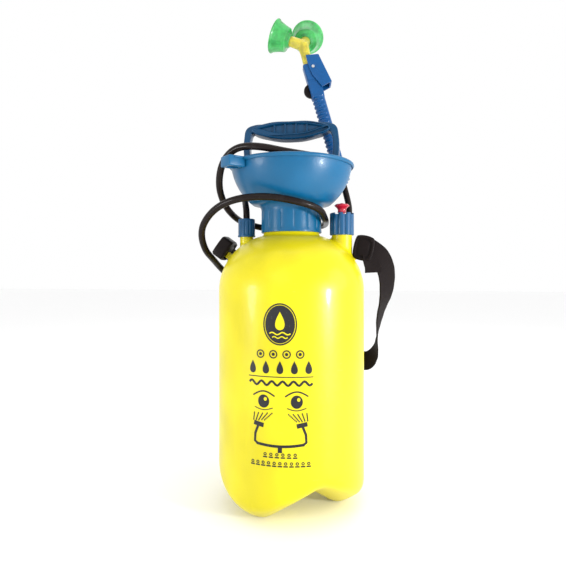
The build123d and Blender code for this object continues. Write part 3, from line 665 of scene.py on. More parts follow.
def waved(piece, waves, depth, low, high, inner=0.0, sharp=1.0, axis=(0.0, 0.0)):
    """Presses upright grooves into the outer faces between two heights."""
    for vertex in piece.data.vertices:
        x, y, z = vertex.co.x - axis[0] * MM, vertex.co.y - axis[1] * MM, vertex.co.z
        r = math.hypot(x, y)
        if r > inner * MM and low * MM <= z <= high * MM:
            swing = abs(math.sin(math.atan2(y, x) * waves / 2)) ** sharp
            share = (r - depth * MM * (1 - swing)) / r
            vertex.co.x = axis[0] * MM + x * share
            vertex.co.y = axis[1] * MM + y * share
    return piece


# ---------------------------------------------------------------- places

def tilted(origin, along, towards):
    """A frame with Z along a line and X as near as can be to another direction."""
    z = Vector(along).normalized()
    x = Vector(towards)
    x = (x - z * x.dot(z)).normalized()
    y = z.cross(x)
    return Matrix.Translation(Vector(origin) * MM) @ Matrix((x, y, z)).transposed().to_4x4()


WAND = tilted((60.0, 57.1, 382.7), (-0.2759, 0.0521, 0.9598), (0.9509, 0.1586, 0.265))
FORK_S = 196.0          # from the wand's origin to where the arms meet
HEAD_TURN = 118.0       # angles in degrees
ARM_SPREAD = 54.5
ARM_TILT = 52.0
FIRST_FOOT = -28.0
SPARE_SOCKET = -45.0
SOCKET_R = 81.3
OUTLET_X = -55.0
OUTLET_TOP = 324.0      # top of the stub under the outlet nut
RELIEF_X = 60.2
RELIEF_TOP = 327.0      # top of the stub under the relief valve


def arm(sign):
    """Frame of a spray arm: Z runs out along it from the fork."""
    return WAND @ move(0, 0, FORK_S) @ turn_by(HEAD_TURN + sign * ARM_SPREAD, "Z") @ turn_by(ARM_TILT, "Y")


def compass(r, azimuth, z=0.0):
    """A point at a radius and an azimuth in degrees, which starts at -Y and turns towards +X."""
    a = math.radians(azimuth)
    return Vector((r * math.sin(a), -r * math.cos(a), z))


# ---------------------------------------------------------------- tank

FOOT_TIP = 8.0          # radius of a foot's flat tip
FOOT_RUN = 1.43         # run over rise of a foot's side
CREASE = 3.5            # softness of the creases between the feet
SEAM_Z = 96.0           # above this the wall is round and upright
FLARE = 5.5             # radius where the shoulder turns up into the neck
LUG_LEAN = math.radians(36.0)


def foot_height(x, y, ring):
    """Height of the tank's underside over a point: three blunt cones, blended along their creases."""
    total = 0.0
    for k in range(3):
        foot = compass(ring, FIRST_FOOT + 120.0 * k)
        away = max(0.0, math.hypot(x - foot.x, y - foot.y) - FOOT_TIP)
        total += math.exp(-away / FOOT_RUN / CREASE)
    return max(0.0, -CREASE * math.log(total))


def tank_line(tank):
    """Gives a function for the tank's surface, by turn and by place up the wall, both 0 to 1."""
    radius, ring = tank.radius / MM, tank.foot_ring / MM
    spring_z, bend = tank.shoulder_z / MM, tank.shoulder_arc / MM
    neck, top = tank.neck / MM, tank.neck_top / MM
    centre = radius - bend
    last = math.acos((neck + FLARE - centre) / bend)
    flare_z = spring_z + bend * math.sin(last)
    kernel = [(offset, 5 - abs(offset)) for offset in range(-4, 5)]
    weight = sum(w for _, w in kernel)
    reach = 3.2

    def raw(turn, s):
        r = s if s < radius else radius
        flip = -1 if r < 0 else 1
        x, y = abs(r) * math.cos(turn) * flip, abs(r) * math.sin(turn) * flip
        z = foot_height(x, y, ring)
        return r, z + max(0.0, s - radius)

    def low(turn, s):
        pairs = [(raw(turn, s + offset * reach), w) for offset, w in kernel]
        return (sum(p[0] * w for p, w in pairs) / weight, sum(p[1] * w for p, w in pairs) / weight)

    lift = low(math.radians(FIRST_FOOT - 90), ring)[1]

    def shape(u, v):
        turn = math.tau * u
        if v < 0.5:
            rim_z = foot_height(radius * math.cos(turn), radius * math.sin(turn), ring)
            r, z = low(turn, (radius + SEAM_Z - rim_z) * v / 0.5)
            z -= lift * max(0.0, 1 - z / 30.0)
        elif v < 0.62:
            r, z = radius, SEAM_Z + (spring_z - SEAM_Z) * (v - 0.5) / 0.12
        elif v < 0.88:
            a = last * (v - 0.62) / 0.26
            r, z = centre + bend * math.cos(a), spring_z + bend * math.sin(a)
        elif v < 0.94:
            a = (v - 0.88) / 0.06
            r = neck + FLARE * (1 - a) ** 2.2
            z = flare_z + FLARE * a ** 1.6
        else:
            r, z = neck, flare_z + FLARE + (top - flare_z - FLARE) * (v - 0.94) / 0.06
        return Vector((r * math.cos(turn), r * math.sin(turn), z)) * MM

    return shape


def shoulder_z(tank, r):
    """Height of the shoulder at a radius, in millimetres."""
    bend = tank.shoulder_arc / MM
    across = min(r, tank.radius / MM - 0.01) - (tank.radius / MM - bend)
    return tank.shoulder_z / MM + math.sqrt(max(0.0, bend ** 2 - across ** 2))


def boss(tank, x, radius, top, flare):
    """A threaded port's stub, which flares into the shoulder."""
    def shape(u, v):
        turn = math.tau * u
        if v < 0.5:
            a = math.pi / 2 * v / 0.5
            out = radius + flare * (1 - math.sin(a))
            px, py = x + out * math.cos(turn), out * math.sin(turn)
            z = shoulder_z(tank, math.hypot(px, py)) - 0.4 + flare * (1 - math.cos(a))
        else:
            px, py = x + radius * math.cos(turn), radius * math.sin(turn)
            base = shoulder_z(tank, math.hypot(px, py)) - 0.4 + flare
            z = base + (top - base) * (v - 0.5) / 0.5
        return Vector((px, py, z)) * MM
    return formed(64, 24, shape)


def lug_place(tank, side):
    """Frame of a strap lug: Z stands out of the shoulder, Y is level."""
    bend, out, up = tank.shoulder_arc / MM, math.cos(LUG_LEAN), math.sin(LUG_LEAN)
    r = tank.radius / MM - bend + bend * out
    z = tank.shoulder_z / MM + bend * up
    return tilted((side * r, 0, z), (side * out, 0, up), (side * up, 0, -out))


class EYEWASH_OT_tank(bpy.types.Operator):
    """Blow-moulded tank with three feet, a domed shoulder, a neck and two port stubs"""
    bl_idname = "eyewash.tank"
    bl_label = "Tank"

    def execute(self, context):
        tank = context.scene.eyewash_tank
        piece = formed(216, 200, tank_line(tank))
        modify(piece, "SOLIDIFY", thickness=tank.wall, offset=-1.0)
        stubs = [boss(tank, OUTLET_X, 8.0, OUTLET_TOP, 3.5), boss(tank, RELIEF_X, 12.0, RELIEF_TOP, 5.0)]
        lugs = []
        for side in (-1, 1):
            lug = block((-4, -3, -3), (4, 3, 12), 1.2)
            lugs.append(place(lug, lug_place(tank, side)))
        join(piece, *stubs, *lugs)
        settle(piece, "tank_moulding", "tank_yellow", "station", ["tank_shell"])
        return {"FINISHED"}


# ---------------------------------------------------------------- print

BADGE_Z = 216.0
DOTS_Z = 185.0
DROPS_Z = 171.5
EYES_X, EYES_Z = 17.5, 136.0
NOZZLE_X, NOZZLE_Z = 23.0, 112.0


def wrapped(piece, tank, proud=0.12):
    """Lays a flat piece drawn in the X-Z plane on the front of the tank."""
    r = tank.radius + proud * MM
    for vertex in piece.data.vertices:
        x, depth = vertex.co.x, vertex.co.y
        angle = x / tank.radius
        vertex.co.x = (r - depth) * math.sin(angle)
        vertex.co.y = -(r - depth) * math.cos(angle)
    return piece


def stroke(points, width):
    """A printed line of even width along points (x, z) in millimetres."""
    line = [Vector((x, 0, z)) for x, z in points]

    def shape(u, v):
        at = v * (len(line) - 1)
        k = min(int(at), len(line) - 2)
        ahead = (line[k + 1] - line[k]).normalized()
        before = (line[k] - line[k - 1]).normalized() if k else ahead
        after = (line[k + 2] - line[k + 1]).normalized() if k + 2 < len(line) else ahead
        t = at - k
        along = (before + ahead).normalized().lerp((ahead + after).normalized(), t)
        across = Vector((-along.z, 0, along.x))
        return (line[k].lerp(line[k + 1], t) + across * (u - 0.5) * width) * MM
    return formed(1, (len(line) - 1) * 3, shape)


def spot(x, z, wide, tall, inner=0.0):
    """A printed disc or ring."""
    def shape(u, v):
        a = math.radians(360.0 * u)
        share = inner + (1 - inner) * v
        return Vector((x + wide * share * math.cos(a), 0, z + tall * share * math.sin(a))) * MM
    return formed(48, 8, shape)


def drop(x, z, tall):
    """A printed water drop."""
    def shape(u, v):
        a = math.tau * u
        wide = tall * 0.36 * math.sin(a) * math.sin(a / 2) ** 1.3
        high = tall * 0.5 * math.cos(a)
        return Vector((x + wide * v, 0, z + high * v)) * MM
    return formed(48, 6, shape)


def wave(x0, x1, z, tall, periods, width):
    """A printed wavy line."""
    steps = int(periods * 8)
    points = [(x0 + (x1 - x0) * k / steps, z + tall * math.sin(math.tau * periods * k / steps))
              for k in range(steps + 1)]
    return stroke(points, width)


def eye(side):
    """Half of the pictogram: an eye, its jet of water and the nozzle below it."""
    x, z = side * EYES_X, EYES_Z
    marks = [
        spot(x, z, 6.2, 6.8),
        stroke([(x - 12 + 2 * k, z + 5.5 + 5.0 * math.sin(math.pi * k / 12)) for k in range(13)], 1.5),
        stroke([(x - 10 + 2 * k, z - 6.5 - 2.4 * math.sin(math.pi * k / 10)) for k in range(11)], 0.9),
    ]
    nx, nz = side * NOZZLE_X, NOZZLE_Z
    for lane in (-2.0, -1.0, 0.0, 1.0, 2.0):
        for k in range(7):
            t = (k + 0.5 * (lane > 0)) / 7.5
            px = nx + (x - nx) * t + lane * (3.0 + 2.2 * t)
            pz = nz + 4 + (z - 11 - nz - 4) * t
            marks.append(spot(px, pz, 0.6, 0.9))
    slope = 0.42 * side
    marks.append(stroke([(nx - 5.5, nz - 2.5 * slope), (nx + 5.5, nz + 2.5 * slope)], 4.6))
    marks.append(stroke([(nx, nz), (side * 27.0, 102.0), (side * 27.5, 94.0), (side * 24.0, 91.6)], 2.6))
    return marks


class EYEWASH_OT_print(bpy.types.Operator):
    """Plain printed marks on the tank's front: a drop in a ring, water lines and an eye rinse pictogram"""
    bl_idname = "eyewash.print"
    bl_label = "Print"

    def execute(self, context):
        tank = context.scene.eyewash_tank
        marks = [
            spot(0, BADGE_Z, 17.8, 21.8, 0.93), spot(0, BADGE_Z, 15.6, 19.6),
        ]
        for k in range(4):
            marks.append(spot(-21.0 + 14.0 * k, DOTS_Z, 4.4, 4.4, 0.72))
            marks.append(spot(-21.0 + 14.0 * k, DOTS_Z, 1.7, 1.7))
        for k in range(5):
            marks.append(drop(-30.0 + 15.0 * k, DROPS_Z, 13.5))
        marks.append(stroke([(-35.0 + 7.0 * k, 161.5) for k in range(11)], 0.9))
        marks.append(wave(-34.0, 34.0, 155.0, 2.2, 6.0, 2.4))
        marks += eye(-1) + eye(1)
        link = [(-25.5 + 5.1 * k, 91.8 - 1.8 * math.sin(math.pi * k / 10)) for k in range(11)]
        marks.append(stroke(link, 2.8))
        marks.append(stroke([(0, 90.0), (0, 83.5)], 4.4))
        for row, (half, z) in enumerate(((19.0, 78.5), (33.0, 69.5))):
            cells = 6 + 5 * row
            for k in range(cells):
                middle = -half + 2 * half * (k + 0.5) / cells
                marks.append(stroke([(middle - 2.3, z), (middle + 2.3, z)], 1.4))
                marks.append(spot(middle, z + 3.0, 1.7, 1.7, 0.45))
        piece = wrapped(join(*marks), tank)
        modify(piece, "SOLIDIFY", thickness=0.00016, offset=0.0)
        settle(piece, "front_print", "seal_black", "station", finish="print_ink")
        glints = [spot(x + 2.0, EYES_Z + 2.4, 1.7, 1.9) for x in (-EYES_X, EYES_X)]
        glints += [
            drop(0, BADGE_Z + 3.5, 19.0),
            wave(-11.0, 11.0, BADGE_Z - 9.5, 1.2, 2.0, 1.3), wave(-8.0, 8.0, BADGE_Z - 13.5, 0.9, 2.0, 1.1),
        ]
        light = wrapped(join(*glints), tank, 0.25)
        modify(light, "SOLIDIFY", thickness=0.00010, offset=0.0)
        settle(light, "print_glint", "tank_yellow", "station")
        return {"FINISHED"}


# ---------------------------------------------------------------- funnel

def bowl_r(funnel, z, inset=0.0):
    """Radius of the bowl's wall at a height, in millimetres."""
    top = funnel.rim_z / MM + 7.8
    return funnel.centre / MM + math.sqrt((funnel.arc / MM - inset) ** 2 - (top - z) ** 2)


def bracket(funnel, azimuth, drills, past=0.0):
    """The arm from the rim to a wand socket, with a wider shelf on top; drills are (radius, start, end)."""
    rim = funnel.rim_z / MM
    inner = bowl_r(funnel, rim - 10) + 0.4
    body = block((-9.8, -SOCKET_R - past, rim - 9.8), (9.8, -inner, rim + 2.0), 1.5)
    shelf = block((-11.2, -SOCKET_R - past + 6.0, rim - 0.6), (11.2, -inner, rim + 1.5), 0.7)
    for part in (body, shelf):
        place(part, turn_by(azimuth, "Z"))
        cut(part, *(rod(*drill) for drill in drills))
    return join(body, shelf)


def socket(length):
    """The ring that a wand drops into, with its mouth rounded."""
    outline = arc(9.0, length - 0.8, 0.8, 0, 90, 4) + arc(7.9, length - 0.8, 0.8, 90, 180, 4)
    outline += arc(7.9, 0.8, 0.8, 180, 270, 4) + arc(9.0, 0.8, 0.8, 270, 360, 4)
    return turned(outline, 64)


class EYEWASH_OT_funnel(bpy.types.Operator):
    """Filling funnel: bowl with a rolled rim, lobed skirt, throat and two wand sockets"""
    bl_idname = "eyewash.funnel"
    bl_label = "Funnel"

    def execute(self, context):
        funnel = context.scene.eyewash_funnel
        rim, bead = funnel.rim_z / MM, funnel.bead / MM
        skirt = funnel.skirt / MM
        levels = [349.5 + (rim - 351.0) * k / 18 for k in range(19)]
        wall = [(bowl_r(funnel, z), z) for z in levels]
        inner = [(bowl_r(funnel, max(z, 350.3), 2.2), max(z, 350.3)) for z in reversed(levels)]
        outline = arc(skirt + 8.3, 342.0, 8.3, 180, 112, 8)[:-1] + wall
        outline += arc(bowl_r(funnel, rim) + 0.2, rim, bead, -62, 158, 14)
        outline += inner + [(30.0, 348.0), (27.0, 348.0)]
        outline += [(25.5, 347.0), (25.5, 327.0), (27.2, 327.0), (27.2, 342.0)]
        bowl = turned(outline, 160)
        body = [(33.3, 342.2), (33.3, 316.4), (33.7, 316.0)]
        body += arc(skirt - 0.6, 316.6, 0.6, 270, 360, 4)
        body += [(skirt, 318.4), (skirt - 0.1, 320.0)] + [(skirt - 0.1, 320 + 2.0 * k) for k in range(1, 11)]
        body += [(skirt, 342.2)]
        lobed = turned(body, funnel.lobes * 16)
        waved(lobed, funnel.lobes, 1.15, 319.0, 341.0, 34.5, 0.42)
        modify(lobed, "SMOOTH", factor=0.3, iterations=1)
        held = place(socket(13.5), WAND @ move(0, 0, 4.0))
        holder = (WAND @ Vector((0, 0, 10.75 * MM))) / MM
        azimuth = math.degrees(math.atan2(holder.x, -holder.y))
        low, middle, high = [(WAND @ Vector((0, 0, s * MM))) / MM for s in (-12.0, 17.5, 60.0)]
        under, over = [compass(SOCKET_R, SPARE_SOCKET, rim + rise) for rise in (-20, 12)]
        spare = bracket(funnel, SPARE_SOCKET, [(7.1, under, over)], 9.8)
        holding = bracket(funnel, azimuth, [(7.3, low, high), (9.0, middle, high)])
        piece = join(bowl, lobed, held, spare, holding)
        settle(piece, "filling_funnel", "funnel_blue", "station", ["funnel"])
        return {"FINISHED"}


# ---------------------------------------------------------------- port nuts and relief knob

class EYEWASH_OT_fittings(bpy.types.Operator):
    """The fluted outlet nut, the relief valve's castellated housing and its red pull knob"""
    bl_idname = "eyewash.fittings"
    bl_label = "Fittings"

    def execute(self, context):
        nut_low, nut_top = 311.8, 333.8
        outline = [(8.3, nut_low), (10.3, nut_low), (10.6, nut_low + 0.4), (10.6, nut_low + 1.8)]
        outline += [(10.1, nut_low + 2.4)] + [(10.1, nut_low + 3 + 1.6 * k) for k in range(11)]
        outline += arc(9.2, nut_top - 1.0, 0.9, 10, 90, 4) + [(4.9, nut_top), (4.4, nut_top - 0.5)]
        outline += [(4.4, nut_top - 6.4), (8.3, nut_top - 6.6)]
        nut = turned(outline, 192)
        waved(nut, 12, 0.85, nut_low + 2.8, nut_top - 1.6, 9.0, 0.5)
        place(nut, move(OUTLET_X, 0, 0))
        settle(nut, "outlet_cap_nut", "fitting_blue", "station", ["outlet_nut"])

        low, top = 313.0, 339.0
        outline = [(12.3, low), (14.0, low), (14.5, low + 0.5)]
        outline += [(14.5, low + 1.5 + 2.2 * k) for k in range(11)]
        outline += [(14.5, top - 0.5), (14.1, top), (11.7, top), (11.3, top - 0.4), (11.3, top - 3.0)]
        outline += [(3.9, top - 3.0), (3.6, top - 3.3), (3.6, top - 5.0), (7.0, top - 5.0)]
        outline += [(7.0, low + 16.0), (12.3, low + 16.0)]
        housing = turned(outline, 200)
        waved(housing, 10, 1.6, low - 1, top + 1, 13.2, 0.55)
        slots = [block((-20, -2.6, top - 1.9), (20, 2.6, top + 3), 0.3) for _ in range(4)]
        for k, slot in enumerate(slots):
            place(slot, turn_by(45.0 * k + 18, "Z"))
        cut(housing, *slots)
        place(housing, move(RELIEF_X, 0, 0))
        settle(housing, "relief_cap", "fitting_blue", "station", ["relief_housing"])

        knob = [(0, 320.5), (5.5, 320.5), (5.5, 322.4), (3.5, 322.6), (3.5, top + 0.4), (4.2, top + 0.6)]
        knob += arc(9.6, top + 3.0, 4.8, 205, 125, 8)
        knob += arc(8.0, top + 8.9, 0.8, 300, 430, 6) + [(7.4, top + 10.6), (6.4, top + 10.0), (3.6, top + 9.6)]
        knob += [(2.6, top + 11.4), (1.2, top + 12.0), (0, top + 12.0)]
        pull = turned(knob, 72, closed=False)
        place(pull, move(RELIEF_X, 0, 0))
        settle(pull, "relief_pull", "knob_red", "relief_valve", ["relief_knob"])
        return {"FINISHED"}


# ---------------------------------------------------------------- pump handle

class EYEWASH_OT_handle(bpy.types.Operator):
    """D-shaped pump handle: legs, a lens-shaped grip with a ribbed recess, and its hub"""
    bl_idname = "eyewash.handle"
    bl_label = "Handle"

    def execute(self, context):
        handle = context.scene.eyewash_handle
        half, top = handle.half / MM, handle.top / MM
        low = 369.0
        side = top - 11
        inside = half - 8.2
        under = top - handle.grip / MM
        right = [(9.0, low, 0), (20, low + 0.2), (38, low + 6.5), (49, low + 15), (half - 1.5, low + 25)]
        right += [(half, low + 34), (half, side - 6), (half - 3.0, side + 4.5), (half - 11, side + 8.4)]
        right += [(28, top - 1.6)]
        outer = right + [(0, top)] + mirrored(right)
        hole_right = [(18, low + 13.0), (36, low + 18.5), (inside - 3.5, low + 26), (inside, low + 34)]
        hole_right += [(inside, side - 5), (inside - 2.5, side - 1.2), (26, under + 2.6)]
        hole = hole_right + [(0, under)] + mirrored(hole_right) + [(0, low + 13.6)]
        frame_bar = pressed([outer, hole], 7.0, 1.6)
        over_half = [(inside - 1.5, side + 3.0), (28, top - 1.2)]
        under_half = [(26, under + 2.8), (inside - 1.5, side + 0.6)]
        lens = over_half + [(0, top)] + mirrored(over_half) + mirrored(under_half) + [(0, under)] + under_half
        crest = [(37, side + 3.6, 0), (18, side + 7.0)]
        hollow = crest + [(0, side + 8.0)] + mirrored(crest)
        hollow += [(-18, under + 8.3), (0, under + 7.0), (18, under + 8.3)]
        grip = pressed([lens, hollow], 10.0, 1.8)
        web = pressed([[(p[0] * 1.02, *p[1:]) for p in hollow]], 1.5, 0.2)
        ribs = []
        for k in range(handle.ribs):
            x = (k - (handle.ribs - 1) / 2) * 13.0
            tall = 6.6 * (1 - (x / 38.0) ** 2)
            middle = side + 3.6 - 1.1 * (1 - (x / 38.0) ** 2)
            ribs.append(block((x - 0.9, -9.0, middle - tall), (x + 0.9, 9.0, middle + tall), 0.4))
        hub_low, hub_top = 356.0, 384.0
        outline = [(5.1, hub_low), (8.4, hub_low), (9.0, hub_low + 0.6), (9.0, hub_top - 2.0)]
        outline += arc(7.0, hub_top - 2.0, 2.0, 0, 90, 6)
        outline += [(0, hub_top), (0, hub_top - 6.1), (5.1, hub_top - 6.1)]
        hub = turned(outline, 72)
        key = block((-3.4, -12.5, hub_low + 2), (3.4, 12.5, hub_low + 6), 0.5)
        cut(key, rod(6.0, (0, 0, hub_low), (0, 0, hub_low + 10)))
        boss_disc = rod(2.6, (0, -9.6, hub_top - 12), (0, 9.6, hub_top - 12))
        cut(boss_disc, rod(1.55, (0, -12, hub_top - 12), (0, 12, hub_top - 12)))
        cut(boss_disc, rod(8.0, (0, 0, hub_low), (0, 0, hub_top)))
        cut(frame_bar, rod(8.0, (0, 0, hub_low), (0, 0, hub_top + 2)))
        piece = join(frame_bar, grip, web, hub, key, boss_disc, *ribs)
        settle(piece, "pump_handle_grip", "handle_blue", "pump_handle", ["handle"])
        return {"FINISHED"}


# ---------------------------------------------------------------- wand

class EYEWASH_OT_wand(bpy.types.Operator):
    """Ribbed wand grip with its valve block, the trigger lever and the lock tab"""
    bl_idname = "eyewash.wand"
    bl_label = "Wand"

    def execute(self, context):
        wand = context.scene.eyewash_wand
        radius = wand.radius / MM
        half, box_s, end = 7.4, 126.0, 167.0

        def section(turn, s):
            """Distance of the skin from the axis."""
            square = min(1.0, max(0.0, (s - box_s + 8) / 9))
            square = square * square * (3 - 2 * square)
            power = 2 + 7 * square
            wide, deep = radius, radius - (radius - half) * square
            c, n = abs(math.cos(turn)) / wide, abs(math.sin(turn)) / deep
            r = (c ** power + n ** power) ** (-1 / power)
            if s < 17.5:
                r = 6.8 + (radius - 6.8) * min(1.0, max(0.0, (s - 17.0) / 0.5))
            for k in range(wand.rings):
                near = abs(s - (45.5 + 6.0 * k))
                if near < 2.2:
                    band = min(1.0, max(0.0, (2.2 - near) / 0.8))
                    front = min(1.0, max(0.0, (0.62 - math.cos(turn)) / 0.30))
                    r -= 1.25 * band * front
            fall = min(1.0, (end - s) / 1.2)
            return r - 0.9 * (1 - math.sqrt(max(0.0, 1 - (1 - fall) ** 2)))

        def skin(u, v):
            turn = math.tau * u
            s = 13.0 + (end - 13.0) * min(1.0, max(0.0, (v - 0.02) / 0.96))
            r = section(turn, s)
            if v < 0.015 or v > 0.985:
                r = 0.0
            return Vector((r * math.cos(turn), r * math.sin(turn), s)) * MM

        grip = formed(72, 300, skin)
        bore = rod(4.1, (0, 0, 5), (0, 0, box_s + 2))
        stem = rod(5.5, (0, 0, end - 14.5), (0, 0, end + 5))
        plunger = rod(3.56, (-20, 0, 146), (20, 0, 146))
        slot = block((-20.5, -2.3, 121.5), (-3.9, 2.3, 142.5), 0)
        cut(grip, bore, stem, plunger, slot)
        for sign in (-1, 1):
            pad = block((-7.2, -0.5, 144.0), (5.0, 0.5, 164.0), 0.4)
            place(pad, move(0, sign * 7.45, 0))
            cut(pad, rod(2.0, (3.5, -20, 160), (3.5, 20, 160)))
            grip = join(grip, pad)
        place(grip, WAND)
        settle(grip, "wand_handle", "wand_blue", "wand", ["wand_grip"])

        lever = softened("trigger", 0.8)
        settle(lever, "trigger_lever_cover", "wand_blue", "trigger_lever", ["trigger"])
        tab = softened("trigger_lock", 0.4)
        settle(tab, "lock_tab_disc", "buckle_black", "lock_tab", ["trigger_lock"])
        return {"FINISHED"}


class EYEWASH_OT_head(bpy.types.Operator):
    """Forked translucent tube, two soft eye cups and their spray roses"""
    bl_idname = "eyewash.head"
    bl_label = "Spray head"

    def execute(self, context):
        wand = context.scene.eyewash_wand
        trunk = [(0, 153.2), (5.3, 153.2), (5.3, 167.6), (6.6, 168.0), (6.7, 174), (6.4, 184), (7.6, 197), (0, 200)]
        branch = [(0, -5.0), (5.6, -4.5), (7.4, 3.0), (6.9, 14.0), (6.75, 25.8), (0, 25.9)]
        limbs = [place(turned(trunk, 48, closed=False), WAND)]
        for sign in (-1, 1):
            limbs.append(place(turned(branch, 48, closed=False), arm(sign)))
        fork = join(*limbs)
        modify(fork, "REMESH", mode="VOXEL", voxel_size=0.00055, adaptivity=0.0)
        modify(fork, "SMOOTH", factor=0.5, iterations=14)
        inner = rod(3.0, (WAND @ Vector((0, 0, 0.150))) / MM, (WAND @ Vector((0, 0, 0.192))) / MM)
        cut(fork, inner)
        settle(fork, "forked_tube", "head_yellow", "spray_head", ["y_tube"], angle=FORK_SMOOTH)

        small, rim, depth = wand.cup_small / MM, wand.cup_rim / MM, wand.cup_depth / MM
        a0 = 22.0       # the cup's base and its rim along the arm
        a1 = a0 + depth

        def wall_r(t):
            """Outside radius of a cup, t from its base to its rim."""
            return small + (rim - small) * t - 0.4 * math.sin(math.pi * t)

        for sign, side in ((1, "left"), (-1, "right")):
            outer = [(6.9, a0 - 4.0), (8.4, a0 - 4.0), (9.0, a0 - 3.4), (9.0, a0 - 0.6), (9.6, a0)]
            outer += arc(small - 1.2, a0 + 1.2, 1.2, -90, -20, 5)
            outer += [(wall_r(k / 8), a0 + 1.2 + (depth - 3.4) * k / 8) for k in range(1, 8)]
            outer += [(rim, a1 - 2.1), (rim + 1.0, a1 - 1.6)] + arc(rim + 0.75, a1 - 0.75, 0.75, -60, 130, 8)
            inner = [(wall_r(k / 8) - 1.8, a0 + 2.0 + (depth - 2.6) * k / 8) for k in range(8, -1, -1)]
            cup = turned(outer + inner + [(6.9, a0 + 2.0)], 96)
            waved(cup, 24, 0.25, a0 + 3, a1 - 4, small + 0.4, 0.6)
            place(cup, arm(sign))
            settle(cup, "soft_cup_" + side, "cup_green", "spray_head", ["eyecup_" + side], angle=CUP_SMOOTH)
            face = [(0, 27.2), (3.2, 27.2), (3.8, 26.6), (3.8, 24.2), (6.85, 24.2), (6.85, 24.1)]
            face += [(8.4, 24.1), (8.4, 27.4), (7.6, 28.2), (4.8, 28.6), (0, 28.8)]
            rose = turned(face, 64, closed=False)
            for k in range(6):
                c, n = math.cos(math.tau * k / 6), math.sin(math.tau * k / 6)
                cut(rose, rod(0.55, (2.4 * c, 2.4 * n, 20), (3.0 * c, 3.0 * n, 32), 12))
            place(rose, arm(sign))
            settle(rose, "spray_rose_" + side, "head_yellow", "spray_head", ["nozzle_" + side])
        return {"FINISHED"}


# ---------------------------------------------------------------- hose

HOSE_ROUTE = [
    (-55, 0, 330), (-55, 0, 343), (-60, 14, 356), (-66, 34, 369), (-63, 58, 385), (-47, 77, 408),
    (-20, 76, 417), (7, 66, 411), (34, 57, 399), (57, 33, 394.5), (66, 0, 394), (57, -33, 394),
    (33, -56, 395), (4, -63, 399), (-29, -63, 407), (-56, -54, 408), (-74, -43, 394),
    (-81, -33, 370), (-79, -16, 350), (-73, 6, 338), (-66, 26, 332), (-44, 42, 326),
    (-14, 50, 324), (16, 48, 325), (38, 32, 328), (40.9, 8, 330), (40.9, -14, 332),
    (38, -35, 340), (19, -52, 346), (-15, -63, 352), (-50, -61, 351), (-78, -50, 343),
    (-97, -38, 327), (-104, -26, 312), (-103, -12, 295), (-99, 8, 285), (-97, 27, 276),
    (-84, 53, 257), (-58, 79, 220), (-28, 93, 192), (6, 98, 182), (38, 91, 199), (57, 79, 232),
    (60, 72, 264), (58, 58, 295), (64, 54, 322), (67.5, 55, 342),
    (67.17, 55.75, 357.75), (60.0, 57.1, 382.7),
]


class EYEWASH_OT_hose(bpy.types.Operator):
    """The delivery hose, in loops from the outlet nut to the tail of the wand"""
    bl_idname = "eyewash.hose"
    bl_label = "Hose"

    def execute(self, context):
        soft = context.scene.eyewash_soft
        drawn = bpy.data.curves.new("hose_line", "CURVE")
        drawn.dimensions = "3D"
        drawn.resolution_u = 16
        spline = drawn.splines.new("NURBS")
        spline.points.add(len(HOSE_ROUTE) - 1)
        for point, at in zip(spline.points, HOSE_ROUTE):
            point.co = (*(value * MM for value in at), 1.0)
        spline.order_u = 3
        spline.use_endpoint_u = True
        piece = bpy.data.objects.new("hose_line", drawn)
        context.scene.collection.objects.link(piece)
        line = bpy.data.meshes.new_from_object(piece)
        path = [tuple(vertex.co) for vertex in line.vertices]
        drawn.bevel_depth = soft.hose / 2
        drawn.bevel_resolution = 8
        drawn.use_fill_caps = True
        pick(piece)
        bpy.ops.object.convert(target="MESH")
        piece = context.object
        edit(piece)
        dress(piece, "delivery_hose", "hose_black")
        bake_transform(piece)
        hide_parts("hose")
        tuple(path[0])
        return {"FINISHED"}


# ---------------------------------------------------------------- strap and buckles

STRAP_ROUTE = [     # places in millimetres, then the strap's roll in degrees
    (91, 1.5, 298, 65), (105, 5, 287, 62), (113, 12, 268, 55), (113, 24, 242, 50), (107, 40, 216, 42),
    (104, 58, 188, 30), (101, 75, 163, 20), (88, 91, 149, 10), (62, 103, 156, 0), (30, 112, 178, 0),
    (-6, 112, 206, 0), (-38, 100, 235, 0), (-62, 74, 262, 0), (-77, 46, 281, 5), (-82, 24, 292, 15),
    (-83, 9, 295, 15),
]
TAIL_ROUTE = [(92, 0.5, 292, 62), (94, -1, 283, 60), (96.5, -2, 275, 66), (97, -2.5, 269, 72)]


def curve_through(rows, t):
    """A smooth line through rows of numbers, t from 0 to 1."""
    at = t * (len(rows) - 1)
    k = min(int(at), len(rows) - 2)
    f = at - k
    picks = [rows[max(k - 1, 0)], rows[k], rows[k + 1], rows[min(k + 2, len(rows) - 1)]]
    return [
        0.5 * (2 * b + (c - a) * f + (2 * a - 5 * b + 4 * c - d) * f * f + (3 * b - a - 3 * c + d) * f ** 3)
        for a, b, c, d in zip(*picks)
    ]


